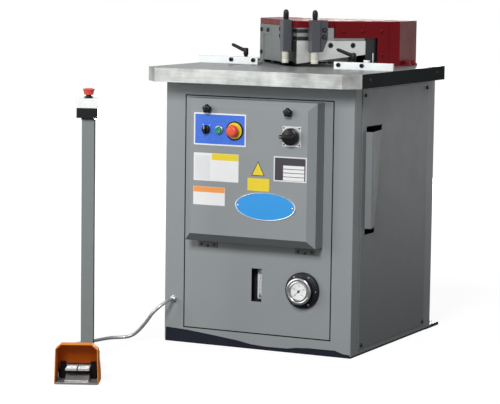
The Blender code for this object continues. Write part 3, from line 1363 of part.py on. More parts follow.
def door_hinges():
    """The fixed leaves below the door, with their pins and screws."""
    near = FRONT - SEAT_GAP
    half = HINGE_LEAF_WIDTH / 2
    third = HINGE_LEAF_WIDTH / 6
    for name, x in zip(("left", "right"), HINGE_CENTRES):
        leaf = block(
            (x - half, near - HINGE_LEAF_THICKNESS, HINGE_LEAF_BOTTOM), (x + half, near, HINGE_LEAF_TOP)
        )
        joined = []
        for side in (-1, 1):
            low, high = sorted((side * third + x, side * half + x))
            joined.append(rod(
                (low, HINGE_Y, HINGE_Z), (high, HINGE_Y, HINGE_Z), HINGE_KNUCKLE_RADIUS, COARSE_SIDES
            ))
            joined.append(block(
                (low, near - HINGE_LEAF_THICKNESS, HINGE_LEAF_TOP - WELD), (high, near, HINGE_Z)
            ))
        joined.append(rod(
            (x - third - OVERRUN, HINGE_Y, HINGE_Z), (x + third + OVERRUN, HINGE_Y, HINGE_Z),
            HINGE_KNUCKLE_RADIUS / 2, COARSE_SIDES,
        ))
        screw_front = near - HINGE_LEAF_THICKNESS + WELD
        middle = (HINGE_LEAF_BOTTOM + HINGE_LEAF_TOP) / 2
        for across, drop in ((-1, 0), (0, 1), (1, 0)):
            place = (x + across * (third * 2), screw_front, middle - drop * HINGE_SCREW_RADIUS)
            joined.append(dome(place, (0, -1, 0), HINGE_SCREW_RADIUS, HINGE_SCREW_HEIGHT + WELD))
        piece(f"door_hinge_{name}", DARK_STEEL, leaf, joined)


def door_knobs(door):
    """The lobed knobs whose long screws hold the door shut."""
    for side, (x, z) in zip(("left", "right"), door_knob_places()):
        base = DOOR_FACE - SEAT_GAP
        neck = DOOR_KNOB_HEIGHT * 0.35
        stem_end = FRONT + COVER_THICKNESS
        profile = (
            (0, 0), (DOOR_KNOB_RADIUS * 0.5, 0), (DOOR_KNOB_RADIUS * 0.5, neck),
            (DOOR_KNOB_RADIUS * 0.72, neck),
            (DOOR_KNOB_RADIUS * 0.72, DOOR_KNOB_HEIGHT * 0.9), (DOOR_KNOB_RADIUS * 0.5, DOOR_KNOB_HEIGHT),
            (0, DOOR_KNOB_HEIGHT),
        )
        core = turned(profile, (x, base, z), (0, -1, 0))
        joined = [rod((x, base - WELD, z), (x, stem_end, z), DOOR_KNOB_STEM_RADIUS, COARSE_SIDES)]
        for number in range(DOOR_KNOB_GRIPS):
            turn = math.tau * (number + 0.25) / DOOR_KNOB_GRIPS
            reach = DOOR_KNOB_RADIUS * 0.68
            lobe_x = x + reach * math.cos(turn)
            lobe_z = z + reach * math.sin(turn)
            joined.append(rod(
                (lobe_x, base - neck - WELD, lobe_z), (lobe_x, base - DOOR_KNOB_HEIGHT * 0.93, lobe_z),
                DOOR_KNOB_RADIUS - reach, COARSE_SIDES,
            ))
        piece(f"door_knob_{side}", BLACK_PLASTIC, core, joined, origin=(x, base, z), parent=door)


def controls(door):
    """The operating controls on the door."""
    half_x, half_z = CONTROL_WIDTH / 2, CONTROL_HEIGHT / 2
    plate = block(
        (CONTROL_CENTRE_X - half_x, PLATE_FRONT, CONTROL_CENTRE_Z - half_z),
        (CONTROL_CENTRE_X + half_x, PLATE_BACK, CONTROL_CENTRE_Z + half_z),
    )
    collar = rod(
        (START_X, PLATE_FRONT + WELD, BUTTON_ROW_Z), (START_X, PLATE_FRONT - START_HEIGHT / 2, BUTTON_ROW_Z),
        START_COLLAR_RADIUS,
    )
    half = SWITCH_SIZE / 2
    switch_plate = block(
        (SWITCH_X - half, PLATE_FRONT, SWITCH_Z - half), (SWITCH_X + half, PLATE_BACK, SWITCH_Z + half)
    )
    ring = rod(
        (STOP_X, PLATE_FRONT + WELD, BUTTON_ROW_Z), (STOP_X, PLATE_FRONT - STOP_RING_THICKNESS, BUTTON_ROW_Z),
        STOP_RING_RADIUS, FINE_SIDES,
    )
    holes = control_holes(DOOR_FACE)
    piece("control_plate", BLUE_PLATE, plate, [collar, ring], holes[:3], parent=door)
    piece("main_switch_plate", GROUND_STEEL, switch_plate, cuts=holes[3:], parent=door)

    base = CONTROL_FRONT
    deep = DOOR_FACE + BUTTON_DEPTH
    selector = turned(
        (
            (0, 0), (SELECTOR_RADIUS, 0), (SELECTOR_RADIUS, SELECTOR_HEIGHT * 0.7),
            (SELECTOR_RADIUS * 0.85, SELECTOR_HEIGHT), (0, SELECTOR_HEIGHT),
        ),
        (SELECTOR_X, base, BUTTON_ROW_Z), (0, -1, 0),
    )
    grip_half = SELECTOR_GRIP_WIDTH / 2
    grip = block(
        (SELECTOR_X - grip_half, base - SELECTOR_GRIP_HEIGHT, BUTTON_ROW_Z - SELECTOR_RADIUS * 0.9),
        (SELECTOR_X + grip_half, base - SELECTOR_HEIGHT / 2, BUTTON_ROW_Z + SELECTOR_RADIUS * 0.9),
    )
    stem = rod(
        (SELECTOR_X, base - WELD, BUTTON_ROW_Z), (SELECTOR_X, deep, BUTTON_ROW_Z), SWITCH_STEM_RADIUS,
        COARSE_SIDES,
    )
    axis = (SELECTOR_X, base, BUTTON_ROW_Z)
    piece("selector_switch", BLACK_PLASTIC, selector, [grip, stem], origin=axis, parent=door)
    start = turned(
        (
            (0, 0), (START_RADIUS, 0), (START_RADIUS, deep - base + START_HEIGHT * 0.85),
            (START_RADIUS * 0.8, deep - base + START_HEIGHT), (0, deep - base + START_HEIGHT),
        ),
        (START_X, deep, BUTTON_ROW_Z), (0, -1, 0),
    )
    piece("start_button", GREEN_PLASTIC, start, origin=(START_X, base, BUTTON_ROW_Z), parent=door)
    lift = deep - base
    cap = turned(
        (
            (0, 0), (STOP_STEM_RADIUS, 0), (STOP_STEM_RADIUS, lift + STOP_CAP_BASE),
            (STOP_CAP_RADIUS * 0.95, lift + STOP_CAP_BASE),
            (STOP_CAP_RADIUS, lift + STOP_CAP_HEIGHT * 0.65),
            (STOP_CAP_RADIUS * 0.85, lift + STOP_CAP_HEIGHT * 0.9),
            (STOP_CAP_RADIUS * 0.5, lift + STOP_CAP_HEIGHT),
            (0, lift + STOP_CAP_HEIGHT),
        ),
        (STOP_X, deep, BUTTON_ROW_Z), (0, -1, 0), FINE_SIDES,
    )
    piece("emergency_button", RED_PLASTIC, cap, origin=(STOP_X, base, BUTTON_ROW_Z), parent=door)
    knob = turned(
        (
            (0, 0), (SWITCH_KNOB_RADIUS, 0), (SWITCH_KNOB_RADIUS, SWITCH_KNOB_HEIGHT * 0.8),
            (SWITCH_KNOB_RADIUS * 0.92, SWITCH_KNOB_HEIGHT), (0, SWITCH_KNOB_HEIGHT),
        ),
        (SWITCH_X, base, SWITCH_Z), (0, -1, 0), FINE_SIDES,
    )
    bar = block(
        (SWITCH_X - SWITCH_GRIP_REACH, base - SWITCH_GRIP_HEIGHT, SWITCH_Z - SWITCH_GRIP_WIDTH / 2),
        (
            SWITCH_X + SWITCH_KNOB_RADIUS * 0.8, base - SWITCH_KNOB_HEIGHT / 2,
            SWITCH_Z + SWITCH_GRIP_WIDTH / 2,
        ),
    )
    stem = rod(
        (SWITCH_X, base - WELD, SWITCH_Z), (SWITCH_X, deep, SWITCH_Z), SWITCH_STEM_RADIUS, COARSE_SIDES
    )
    axis = (SWITCH_X, base, SWITCH_Z)
    piece("main_switch_handle", BLACK_PLASTIC, knob, [bar, stem], origin=axis, parent=door)


def oval_badge(door):
    """The bare oval badge with its raised rim."""

    def oval(inset):
        points = []
        for number in range(FINE_SIDES):
            turn = math.tau * number / FINE_SIDES
            across = (BADGE_WIDTH / 2 - inset) * math.cos(turn)
            points.append((BADGE_X + across, BADGE_Z + (BADGE_HEIGHT / 2 - inset) * math.sin(turn)))
        return points

    badge = prism(oval(0), "Y", PLATE_BACK - BADGE_THICKNESS, PLATE_BACK)
    dish = prism(
        oval(BADGE_RIM), "Y", PLATE_BACK - BADGE_THICKNESS - OVERRUN,
        PLATE_BACK - BADGE_THICKNESS + BADGE_RIM_HEIGHT,
    )
    piece("oval_badge", BADGE_BLUE, badge, cuts=[dish], parent=door)


def pressure_gauge():
    """The gauge on its black flange, with its needle."""
    flange = turned(
        (
            (GAUGE_STEM_RADIUS + RUNNING_GAP, 0), (GAUGE_FLANGE_RADIUS, 0),
            (GAUGE_FLANGE_RADIUS, GAUGE_FLANGE_THICKNESS),
            (GAUGE_STEM_RADIUS + RUNNING_GAP, GAUGE_FLANGE_THICKNESS),
        ),
        (GAUGE_X, FRONT - SEAT_GAP, GAUGE_Z), (0, -1, 0), FINE_SIDES, ring=True,
    )
    piece("gauge_flange", BLACK_STEEL, flange, gauge_flange_heads())
    depth = CASE_BACK - CASE_FRONT
    stem_end = -(FRONT + GAUGE_STEM_REACH - CASE_BACK)
    floor = depth - GAUGE_DIAL_DEPTH
    profile = (
        (0, stem_end), (GAUGE_STEM_RADIUS, stem_end), (GAUGE_STEM_RADIUS, 0), (GAUGE_CASE_RADIUS * 0.94, 0),
        (GAUGE_CASE_RADIUS * 0.94, depth * 0.7), (GAUGE_CASE_RADIUS, depth * 0.7),
        (GAUGE_CASE_RADIUS, depth * 0.94),
        (GAUGE_CASE_RADIUS * 0.95, depth), (GAUGE_DIAL_RADIUS, depth), (GAUGE_DIAL_RADIUS, floor),
        (NEEDLE_PIVOT_RADIUS + SEAT_GAP, floor), (NEEDLE_PIVOT_RADIUS + SEAT_GAP, floor - NEEDLE_PIVOT_DEPTH),
        (0, floor - NEEDLE_PIVOT_DEPTH),
    )
    piece("gauge_case", BRIGHT_STEEL, turned(profile, (GAUGE_X, CASE_BACK, GAUGE_Z), (0, -1, 0), FINE_SIDES))
    hub = turned(
        (
            (0, -NEEDLE_PIVOT_DEPTH + SEAT_GAP), (NEEDLE_PIVOT_RADIUS, -NEEDLE_PIVOT_DEPTH + SEAT_GAP),
            (NEEDLE_PIVOT_RADIUS, NEEDLE_LIFT / 2), (NEEDLE_HUB_RADIUS, NEEDLE_LIFT / 2),
            (NEEDLE_HUB_RADIUS, NEEDLE_LIFT * 1.5), (0, NEEDLE_LIFT * 1.5),
        ),
        (GAUGE_X, DIAL_FACE, GAUGE_Z), (0, -1, 0), COARSE_SIDES,
    )
    place = Matrix.Translation((GAUGE_X, DIAL_FACE - NEEDLE_LIFT, GAUGE_Z))
    turn = place @ Matrix.Rotation(-NEEDLE_REST_ANGLE, 4, "Y")
    half = NEEDLE_WIDTH / 2
    outline = [
        (-NEEDLE_TAIL, -half), (0, -half), (NEEDLE_LENGTH, -half / 4), (NEEDLE_LENGTH, half / 4), (0, half),
        (-NEEDLE_TAIL, half),
    ]
    blade = prism(outline, "Y", -NEEDLE_THICKNESS / 2, NEEDLE_THICKNESS / 2, turn)
    piece("gauge_needle", BLACK_STEEL, hub, [blade], origin=(GAUGE_X, DIAL_FACE, GAUGE_Z))


def electrical_box():
    """The control box behind the door, with its mounting plate, contactors and terminal rail."""
    half = BOX_OPENING_WIDTH / 2
    near = FRONT + COVER_THICKNESS + SEAT_GAP
    far = near + BOX_DEPTH
    wall = BOX_WALL
    low, high = BOX_OPENING_BOTTOM, BOX_OPENING_TOP
    body = block((-half, near, low), (half, far, high))
    flange = block(
        (-half - BOX_FLANGE, near, low - BOX_FLANGE), (half + BOX_FLANGE, near + wall, high + BOX_FLANGE)
    )
    hollow = block((-half + wall, near - OVERRUN, low + wall), (half - wall, far - wall, high - wall))
    plate_back = far - wall + WELD
    margin = MOUNTING_PLATE_MARGIN
    plate = block(
        (-half + margin, plate_back - wall, low + margin), (half - margin, plate_back, high - margin)
    )
    front = plate_back - wall + WELD
    parts = []
    for number in range(CONTACTOR_COUNT):
        x = (number - (CONTACTOR_COUNT - 1) / 2) * CONTACTOR_PITCH
        parts.append(block(
            (x - CONTACTOR_WIDTH / 2, front - CONTACTOR_DEPTH, CONTACTOR_ROW_Z - CONTACTOR_HEIGHT / 2),
            (x + CONTACTOR_WIDTH / 2, front, CONTACTOR_ROW_Z + CONTACTOR_HEIGHT / 2),
        ))
    parts.append(block(
        (-TERMINAL_WIDTH / 2, front - TERMINAL_DEPTH, TERMINAL_ROW_Z - TERMINAL_HEIGHT / 2),
        (TERMINAL_WIDTH / 2, front, TERMINAL_ROW_Z + TERMINAL_HEIGHT / 2),
    ))
    piece("electrical_box", GREY_PAINT, body, [flange], [hollow], [plate, *parts])


def oil_tank():
    """The oil tank on the cabinet floor, with its filler cap and level glass."""
    low = BASE_THICKNESS + SEAT_GAP
    body = block((-TANK_HALF_WIDTH, TANK_FRONT, low), (TANK_HALF_WIDTH, TANK_REAR, TANK_TOP))
    wall = TANK_WALL
    hollow = block(
        (-TANK_HALF_WIDTH + wall, TANK_FRONT + wall, low + wall),
        (TANK_HALF_WIDTH - wall, TANK_REAR - wall, TANK_TOP - wall),
    )
    neck_hole = rod(
        (FILLER_X, FILLER_Y, TANK_TOP - wall - OVERRUN), (FILLER_X, FILLER_Y, TANK_TOP + OVERRUN),
        FILLER_RADIUS,
    )
    profile = (
        (BREATHER_RADIUS, -WELD), (FILLER_CAP_RADIUS, -WELD), (FILLER_CAP_RADIUS, FILLER_CAP_HEIGHT * 0.8),
        (FILLER_CAP_RADIUS * 0.8, FILLER_CAP_HEIGHT), (BREATHER_RADIUS, FILLER_CAP_HEIGHT),
    )
    cap = turned(profile, (FILLER_X, FILLER_Y, TANK_TOP), ring=True)
    tank = piece("oil_tank", GREY_PAINT, body, cuts=[hollow, neck_hole], added=[cap])
    back = TANK_FRONT - SEAT_GAP
    glass = block(
        (-GLASS_WIDTH / 2, back - GLASS_DEPTH, GLASS_CENTRE_Z - GLASS_HEIGHT / 2),
        (GLASS_WIDTH / 2, back, GLASS_CENTRE_Z + GLASS_HEIGHT / 2),
    )
    window = block(
        (-GLASS_WINDOW_WIDTH / 2, back - GLASS_DEPTH - OVERRUN, GLASS_WINDOW_BOTTOM),
        (GLASS_WINDOW_WIDTH / 2, back - GLASS_DEPTH / 2, GLASS_WINDOW_TOP),
    )
    piece("oil_level_glass", CLEAR_GLASS, glass, cuts=[window], parent=tank)


def pump_unit():
    """The electric motor and the oil pump on a shared bell housing, standing on the tank."""
    y, z = MOTOR_AXIS_Y, MOTOR_AXIS_Z
    seat = TANK_TOP + SEAT_GAP
    body = rod((MOTOR_START, y, z), (MOTOR_END, y, z), MOTOR_RADIUS, FINE_SIDES)
    bell_end = MOTOR_END + BELL_LENGTH
    pump_end = bell_end + PUMP_LENGTH
    bell = rod(
        (MOTOR_END - WELD, y, z), (bell_end, y, z), BELL_RADIUS, FINE_SIDES, end_radius=BELL_END_RADIUS
    )
    pump = rod((bell_end - WELD, y, z), (pump_end, y, z), PUMP_RADIUS)
    joined = [bell, pump]
    for start, end, width, foot_top in (
        (MOTOR_START, MOTOR_END, MOTOR_FOOT_WIDTH, z - MOTOR_RADIUS * MOTOR_FOOT_SHARE),
        (bell_end, pump_end, PUMP_FOOT_WIDTH, z - PUMP_RADIUS * PUMP_FOOT_SHARE),
    ):
        inset = (end - start) * FOOT_INSET_SHARE
        joined.append(block((start + inset, y - width / 2, seat), (end - inset, y + width / 2, foot_top)))
    piece("pump_unit", DARK_PAINT, body, joined)


def scrap_chute():
    """The sheet chute under the blades, sloping back to the outlet in the rear panel."""
    top = TABLE_BOTTOM - SEAT_GAP
    wall = CHUTE_WALL
    half = CHUTE_HALF_WIDTH
    end = REAR + RUNNING_GAP
    side_outline = [
        (CHUTE_FRONT, top), (CHUTE_FRONT, CHUTE_THROAT), (end, CHUTE_OUTLET_BOTTOM),
        (end, CHUTE_OUTLET_BOTTOM + CHUTE_SIDE_HEIGHT), (CHUTE_REAR, CHUTE_THROAT - wall),
        (CHUTE_REAR, top),
    ]
    body = prism(side_outline, "X", -half, half)
    slope = (CHUTE_OUTLET_BOTTOM - CHUTE_THROAT) / (end - CHUTE_FRONT)
    upper_slope = (CHUTE_OUTLET_BOTTOM + CHUTE_SIDE_HEIGHT - CHUTE_THROAT) / (end - CHUTE_REAR)
    far = end + OVERRUN
    inner_outline = [
        (CHUTE_FRONT + wall, top + OVERRUN), (CHUTE_FRONT + wall, CHUTE_THROAT + wall * 2),
        (far, CHUTE_THROAT + wall * 2 + slope * (far - CHUTE_FRONT)),
        (far, CHUTE_THROAT - wall * 2 + upper_slope * (far - CHUTE_REAR)),
        (CHUTE_REAR - wall, CHUTE_THROAT - wall * 2), (CHUTE_REAR - wall, top + OVERRUN),
    ]
    inner = prism(inner_outline, "X", -half + wall, half - wall)
    piece("scrap_chute", GUARD_GREY, body, cuts=[inner])


def gland(place, axis, radius, length, frame=WORLD):
    """A cable gland: a hexagon, then a round dome nut."""
    flats = length * GLAND_FLATS_SHARE
    hexagon = turned(((0, 0), (radius, 0), (radius, flats), (0, flats)), place, axis, GLAND_SIDES, frame)
    nut = turned(
        ((0, 0), (radius * 0.8, 0), (radius * 0.8, length * 0.8), (radius * 0.62, length), (0, length)),
        place, axis, MIDDLE_SIDES, frame,
    )
    return hexagon, nut


def front_gland():
    """The gland on the cabinet's front, where the pedal station's cable comes out."""
    hexagon, nut = gland(
        (FRONT_GLAND_X, FRONT - SEAT_GAP, FRONT_GLAND_Z), (0, -1, 0), GLAND_RADIUS, GLAND_LENGTH - SEAT_GAP
    )
    piece("cable_gland_front", GUARD_GREY, hexagon, [nut])


def pedal_station():
    """The foot station: base plate, guard, treadle, switch, post and the emergency stop on top."""
    half = STATION_WIDTH / 2
    waist = PEDAL_GUARD_DEPTH + STATION_WAIST_MARGIN
    waist_half = FOOT_SWITCH_WIDTH / 2 + STATION_EDGE_MARGIN
    tail_half = POST_FOOT_WIDTH / 2 + STATION_EDGE_MARGIN
    right = [
        (half, 0), (half, waist), (waist_half, waist + half - waist_half), (waist_half, FOOT_SWITCH_REAR),
        (tail_half, FOOT_SWITCH_REAR + STATION_TAPER), (tail_half, STATION_LENGTH),
    ]
    plate = prism(right + flipped(right), "Z", 0, STATION_PLATE, STATION)
    rest_half = REST_PLATE_WIDTH / 2
    rest = block(
        (-rest_half, REST_PLATE_FRONT, STATION_PLATE - WELD),
        (rest_half, REST_PLATE_REAR, STATION_PLATE + REST_PLATE_THICKNESS), STATION,
    )
    piece("station_base", DARK_STEEL, plate, [rest])

    sheet = PEDAL_GUARD_SHEET
    outer_foot = PEDAL_GUARD_WIDTH / 2
    outer_shoulder = PEDAL_GUARD_SHOULDER_WIDTH / 2
    outer_roof = PEDAL_GUARD_ROOF_WIDTH / 2
    bottom = SEAT_GAP * 2
    right = [(outer_foot, bottom), (outer_shoulder, PEDAL_GUARD_SHOULDER), (outer_roof, PEDAL_GUARD_ROOF)]
    shell = prism(right + flipped(right), "Y", 0, PEDAL_GUARD_DEPTH, STATION)
    inner_right = [
        (outer_foot - sheet, bottom - OVERRUN), (outer_shoulder - sheet, PEDAL_GUARD_SHOULDER - sheet / 2),
        (outer_roof - sheet / 2, PEDAL_GUARD_ROOF - sheet),
    ]
    inner = inner_right + flipped(inner_right)
    slope_top = PEDAL_GUARD_ROOF - sheet * 2
    lean = (PEDAL_GUARD_DEPTH - PEDAL_GUARD_ROOF_DEPTH) / (slope_top - PEDAL_GUARD_SILL)
    far = PEDAL_GUARD_DEPTH + OVERRUN
    hollow = loft([
        [(x, -OVERRUN, z) for x, z in inner],
        [(x, PEDAL_GUARD_ROOF_DEPTH - sheet + (slope_top - z) * lean, z) for x, z in inner],
    ], STATION)
    gap_half = FOOT_SWITCH_WIDTH / 2 + RUNNING_GAP * 5
    gap = block(
        (-gap_half, PEDAL_GUARD_ROOF_DEPTH, bottom - OVERRUN), (gap_half, far, PEDAL_GUARD_BACK_EDGE), STATION
    )
    slope = prism(
        [
            (far, PEDAL_GUARD_SILL), (PEDAL_GUARD_DEPTH, PEDAL_GUARD_SILL),
            (PEDAL_GUARD_ROOF_DEPTH, slope_top), (PEDAL_GUARD_ROOF_DEPTH, PEDAL_GUARD_ROOF + OVERRUN),
            (far, PEDAL_GUARD_ROOF + OVERRUN),
        ],
        "X", -PEDAL_GUARD_WIDTH, PEDAL_GUARD_WIDTH, STATION,
    )
    piece("pedal_guard", ORANGE_PAINT, shell, cuts=[hollow, gap, slope])

    seat = STATION_PLATE + SEAT_GAP
    body_half = FOOT_SWITCH_WIDTH / 2
    body = block(
        (-body_half, FOOT_SWITCH_FRONT, seat), (body_half, FOOT_SWITCH_REAR, FOOT_SWITCH_HEIGHT), STATION
    )
    junction = block(
        (-body_half * 0.9, FOOT_SWITCH_REAR - OVERRUN, seat + SEAT_GAP),
        (body_half * 0.9, JUNCTION_REAR, JUNCTION_HEIGHT), STATION,
    )
    axis_z = TREADLE_BOTTOM + TREADLE_THICKNESS / 2
    lug_near = TREADLE_WIDTH / 2 + RUNNING_GAP / 2
    joined = [junction]
    for side in (-1, 1):
        low, high = sorted((side * lug_near, side * (lug_near + TREADLE_LUG_WIDTH)))
        joined.append(block(
            (low, TREADLE_AXIS - TREADLE_BARREL_RADIUS, axis_z - TREADLE_BARREL_RADIUS),
            (high, FOOT_SWITCH_FRONT + WELD, axis_z + TREADLE_BARREL_RADIUS), STATION,
        ))
    joined.append(rod(
        (-lug_near - WELD, TREADLE_AXIS, axis_z), (lug_near + WELD, TREADLE_AXIS, axis_z),
        TREADLE_PIN_RADIUS, COARSE_SIDES, STATION,
    ))
    piece("foot_switch", DARK_STEEL, body, joined)
    wide = TREADLE_WIDTH / 2
    tread = block(
        (-wide, TREADLE_FRONT, TREADLE_BOTTOM), (wide, TREADLE_AXIS, TREADLE_BOTTOM + TREADLE_THICKNESS),
        STATION,
    )
    barrel = rod(
        (-wide, TREADLE_AXIS, axis_z), (wide, TREADLE_AXIS, axis_z), TREADLE_BARREL_RADIUS, COARSE_SIDES,
        STATION,
    )
    pin_hole = rod(
        (-wide - OVERRUN, TREADLE_AXIS, axis_z), (wide + OVERRUN, TREADLE_AXIS, axis_z),
        TREADLE_PIN_RADIUS + SEAT_GAP, COARSE_SIDES, STATION,
    )
    pivot = STATION @ Vector((0, TREADLE_AXIS, axis_z))
    piece("pedal_treadle", GROUND_STEEL, tread, [barrel], [pin_hole], origin=pivot)

    post_half = POST_SIZE / 2
    tube = block(
        (-post_half, POST_CENTRE - post_half, seat), (post_half, POST_CENTRE + post_half, POST_TOP), STATION
    )
    bore_half = post_half - POST_WALL
    bore = block(
        (-bore_half, POST_CENTRE - bore_half, seat - OVERRUN),
        (bore_half, POST_CENTRE + bore_half, POST_TOP + OVERRUN), STATION,
    )
    foot_half = POST_FOOT_WIDTH / 2
    foot_depth = post_half + POST_FOOT_MARGIN
    foot = block(
        (-foot_half, POST_CENTRE - foot_depth, seat + SEAT_GAP),
        (foot_half, POST_CENTRE + foot_depth, seat + POST_FOOT_THICKNESS), STATION,
    )
    entry = gland(
        (0, POST_REAR - WELD, STATION_GLAND_Z), (0, 1, 0), GLAND_RADIUS, STATION_GLAND_LENGTH + WELD, STATION
    )
    piece("station_post", GUARD_GREY, tube, [foot], [bore], entry)
    stop_station()


def stop_station():
    """The emergency stop box on the post: cap, black lower half, white upper half, and the button."""
    box_half = STOP_BOX_WIDTH / 2
    near, far = POST_CENTRE - STOP_BOX_DEPTH / 2, POST_CENTRE + STOP_BOX_DEPTH / 2
    cap_half = POST_SIZE / 2 + RUNNING_GAP
    cap_top = POST_TOP + POST_CAP_THICKNESS
    cap = block(
        (-cap_half, POST_CENTRE - cap_half, POST_TOP + SEAT_GAP),
        (cap_half, POST_CENTRE + cap_half, cap_top + WELD), STATION,
    )
    lower = block((-box_half, near, cap_top), (box_half, far, STOP_BOX_SPLIT - SEAT_GAP), STATION)
    screw = dome(
        (0, near + WELD, (cap_top + STOP_BOX_SPLIT) / 2), (0, -1, 0), STOP_BOX_SCREW_RADIUS,
        STOP_BOX_SCREW_HEIGHT + WELD, frame=STATION,
    )
    upper = block((-box_half, near, STOP_BOX_SPLIT), (box_half, far, STOP_BOX_TOP), STATION)
    stem_hole_radius = STATION_STEM_RADIUS + RUNNING_GAP / 2
    stem_bottom = STOP_BOX_SPLIT + STOP_TRAVEL + RUNNING_GAP * 2
    collar = rod(
        (0, POST_CENTRE, STOP_BOX_TOP - WELD), (0, POST_CENTRE, STATION_COLLAR_TOP), STATION_COLLAR_RADIUS,
        frame=STATION,
    )
    hole = rod(
        (0, POST_CENTRE, stem_bottom - STOP_TRAVEL - RUNNING_GAP),
        (0, POST_CENTRE, STATION_COLLAR_TOP + OVERRUN),
        stem_hole_radius, frame=STATION,
    )
    piece("stop_box_base", BLACK_PLASTIC, lower, [cap, screw])
    piece("stop_box_cover", WHITE_FILM, upper, [collar], [hole])
    base = STATION_COLLAR_TOP + STOP_TRAVEL + RUNNING_GAP / 2
    height = STATION_BUTTON_TOP - base
    stem = base - stem_bottom
    profile = (
        (0, -stem), (STATION_STEM_RADIUS, -stem), (STATION_STEM_RADIUS, 0), (STATION_BUTTON_NECK_RADIUS, 0),
        (STATION_BUTTON_RADIUS * 0.9, height * 0.55), (STATION_BUTTON_RADIUS, height * 0.8),
        (STATION_BUTTON_RADIUS * 0.85, height), (0, height),
    )
    place = STATION @ Vector((0, POST_CENTRE, base))
    piece("station_stop_button", RED_PLASTIC, turned(profile, place, sides=FINE_SIDES), origin=place)


def smooth_route(route, spacing):
    """Points along a smooth curve through the route's own points."""
    points = [Vector(point) for point in route]
    padded = [points[0] * 2 - points[1], *points, points[-1] * 2 - points[-2]]
    made = []
    for before, start, end, after in zip(padded, padded[1:], padded[2:], padded[3:]):
        steps = max(1, round((end - start).length / spacing))
        for step in range(steps):
            share = step / steps
            made.append(0.5 * (
                start * 2 + (end - before) * share
                + (before * 2 - start * 5 + end * 4 - after) * share ** 2
                + (start * 3 - before - end * 3 + after) * share ** 3
            ))
    made.append(points[-1])
    return made


def foot_cable():
    """The cable from the gland on the cabinet to the gland on the post, lying on the floor."""
    curve = bpy.data.curves.new("foot_cable", "CURVE")
    curve.dimensions = "3D"
    curve.bevel_depth = CABLE_RADIUS
    curve.bevel_resolution = CABLE_ROUND_STEPS
    curve.use_fill_caps = True
    points = smooth_route(CABLE_ROUTE, CABLE_POINT_SPACING)
    spline = curve.splines.new("POLY")
    spline.points.add(len(points) - 1)
    for target, point in zip(spline.points, points):
        target.co = (*point, 1)
    curve.materials.append(material("foot_cable", CABLE_GREY))
    cable = bpy.data.objects.new("foot_cable", curve)
    bpy.context.scene.collection.objects.link(cable)
    print("cable length", round(sum((b - a).length for a, b in zip(points, points[1:])), 4))


def main():
    clear_scene()
    base_frame()
    cabinet_frame()
    front_cover()
    for side in ARMS:
        side_panel(side)
    rear_panel()
    table()
    lower_blades()
    head_housing()
    cheek_plate()
    guard_plate()
    upper_blades()
    ram()
    hydraulic_cylinder()
    ram_guides()
    for side in ARMS:
        hold_down(side)
        fence(side)
    door = door_shell()
    door_hinges()
    door_knobs(door)
    controls(door)
    oval_badge(door)
    pressure_gauge()
    electrical_box()
    oil_tank()
    pump_unit()
    scrap_chute()
    front_gland()
    pedal_station()
    foot_cable()


main()
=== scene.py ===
"""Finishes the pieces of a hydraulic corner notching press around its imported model.

Metres, +Z up. The origin is on the floor, under the middle of the cabinet. The front looks along -Y.
"""

import json
import math

import bmesh
import bpy
from bpy.props import FloatProperty, FloatVectorProperty, PointerProperty
from bpy.types import Operator, Panel, PropertyGroup
from mathutils import Matrix, Vector

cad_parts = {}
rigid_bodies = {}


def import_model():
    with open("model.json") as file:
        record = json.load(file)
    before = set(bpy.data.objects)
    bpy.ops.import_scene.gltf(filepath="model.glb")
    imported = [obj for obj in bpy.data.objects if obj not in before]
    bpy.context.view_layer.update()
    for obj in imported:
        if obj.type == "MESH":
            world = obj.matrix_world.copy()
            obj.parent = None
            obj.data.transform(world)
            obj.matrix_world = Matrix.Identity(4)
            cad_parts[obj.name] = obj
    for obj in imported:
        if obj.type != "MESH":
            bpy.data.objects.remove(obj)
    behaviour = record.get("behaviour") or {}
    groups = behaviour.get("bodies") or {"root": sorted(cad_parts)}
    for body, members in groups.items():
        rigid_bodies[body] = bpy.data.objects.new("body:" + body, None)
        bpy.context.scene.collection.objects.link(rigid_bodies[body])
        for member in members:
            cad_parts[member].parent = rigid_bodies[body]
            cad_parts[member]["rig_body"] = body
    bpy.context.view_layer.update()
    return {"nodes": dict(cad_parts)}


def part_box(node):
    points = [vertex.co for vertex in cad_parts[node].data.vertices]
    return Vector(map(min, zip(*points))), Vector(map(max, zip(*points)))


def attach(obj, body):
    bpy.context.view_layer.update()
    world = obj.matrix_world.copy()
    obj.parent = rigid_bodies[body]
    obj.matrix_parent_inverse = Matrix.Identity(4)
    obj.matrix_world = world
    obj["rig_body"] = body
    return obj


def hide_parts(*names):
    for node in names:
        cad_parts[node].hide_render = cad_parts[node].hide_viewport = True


bl_info = {
    "name": "Notching Press Finishes",
    "version": (1, 0, 0),
    "blender": (4, 5, 0),
    "location": "View3D > Sidebar > Notching Press",
    "description": "Models and finishes the visible pieces of a corner notching press",
    "category": "Object",
}

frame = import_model()
NODES = frame["nodes"]

# Sides, ways, places and sizes that several pieces share
MIRROR = (1, -1)
SIDE_NAMES = {1: "right", -1: "left"}
FORWARD = (0, -1, 0)
DIAGONAL = math.sqrt(0.5)
GAP = 0.0003
SCREW_SINK = 0.0004
CABINET_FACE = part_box("cabinet_frame")[0].y - GAP
DOOR_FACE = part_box("door_shell")[0].y
PLATE_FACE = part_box("main_switch_plate")[0].y
CONTROL_BACK = -0.0135
TABLE_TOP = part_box("table")[1].z
HEAD_FRONT_Y = -0.062
HEAD_FACE_DEPTH = 0.0063
GAUGE_FLANGE_THICKNESS = 0.012
STATION_PLACE = (-0.200, -1.130, 0.0)
STATION_TURN = math.radians(25)
STATION_RIGHT = Vector((math.cos(STATION_TURN), math.sin(STATION_TURN), 0.0))

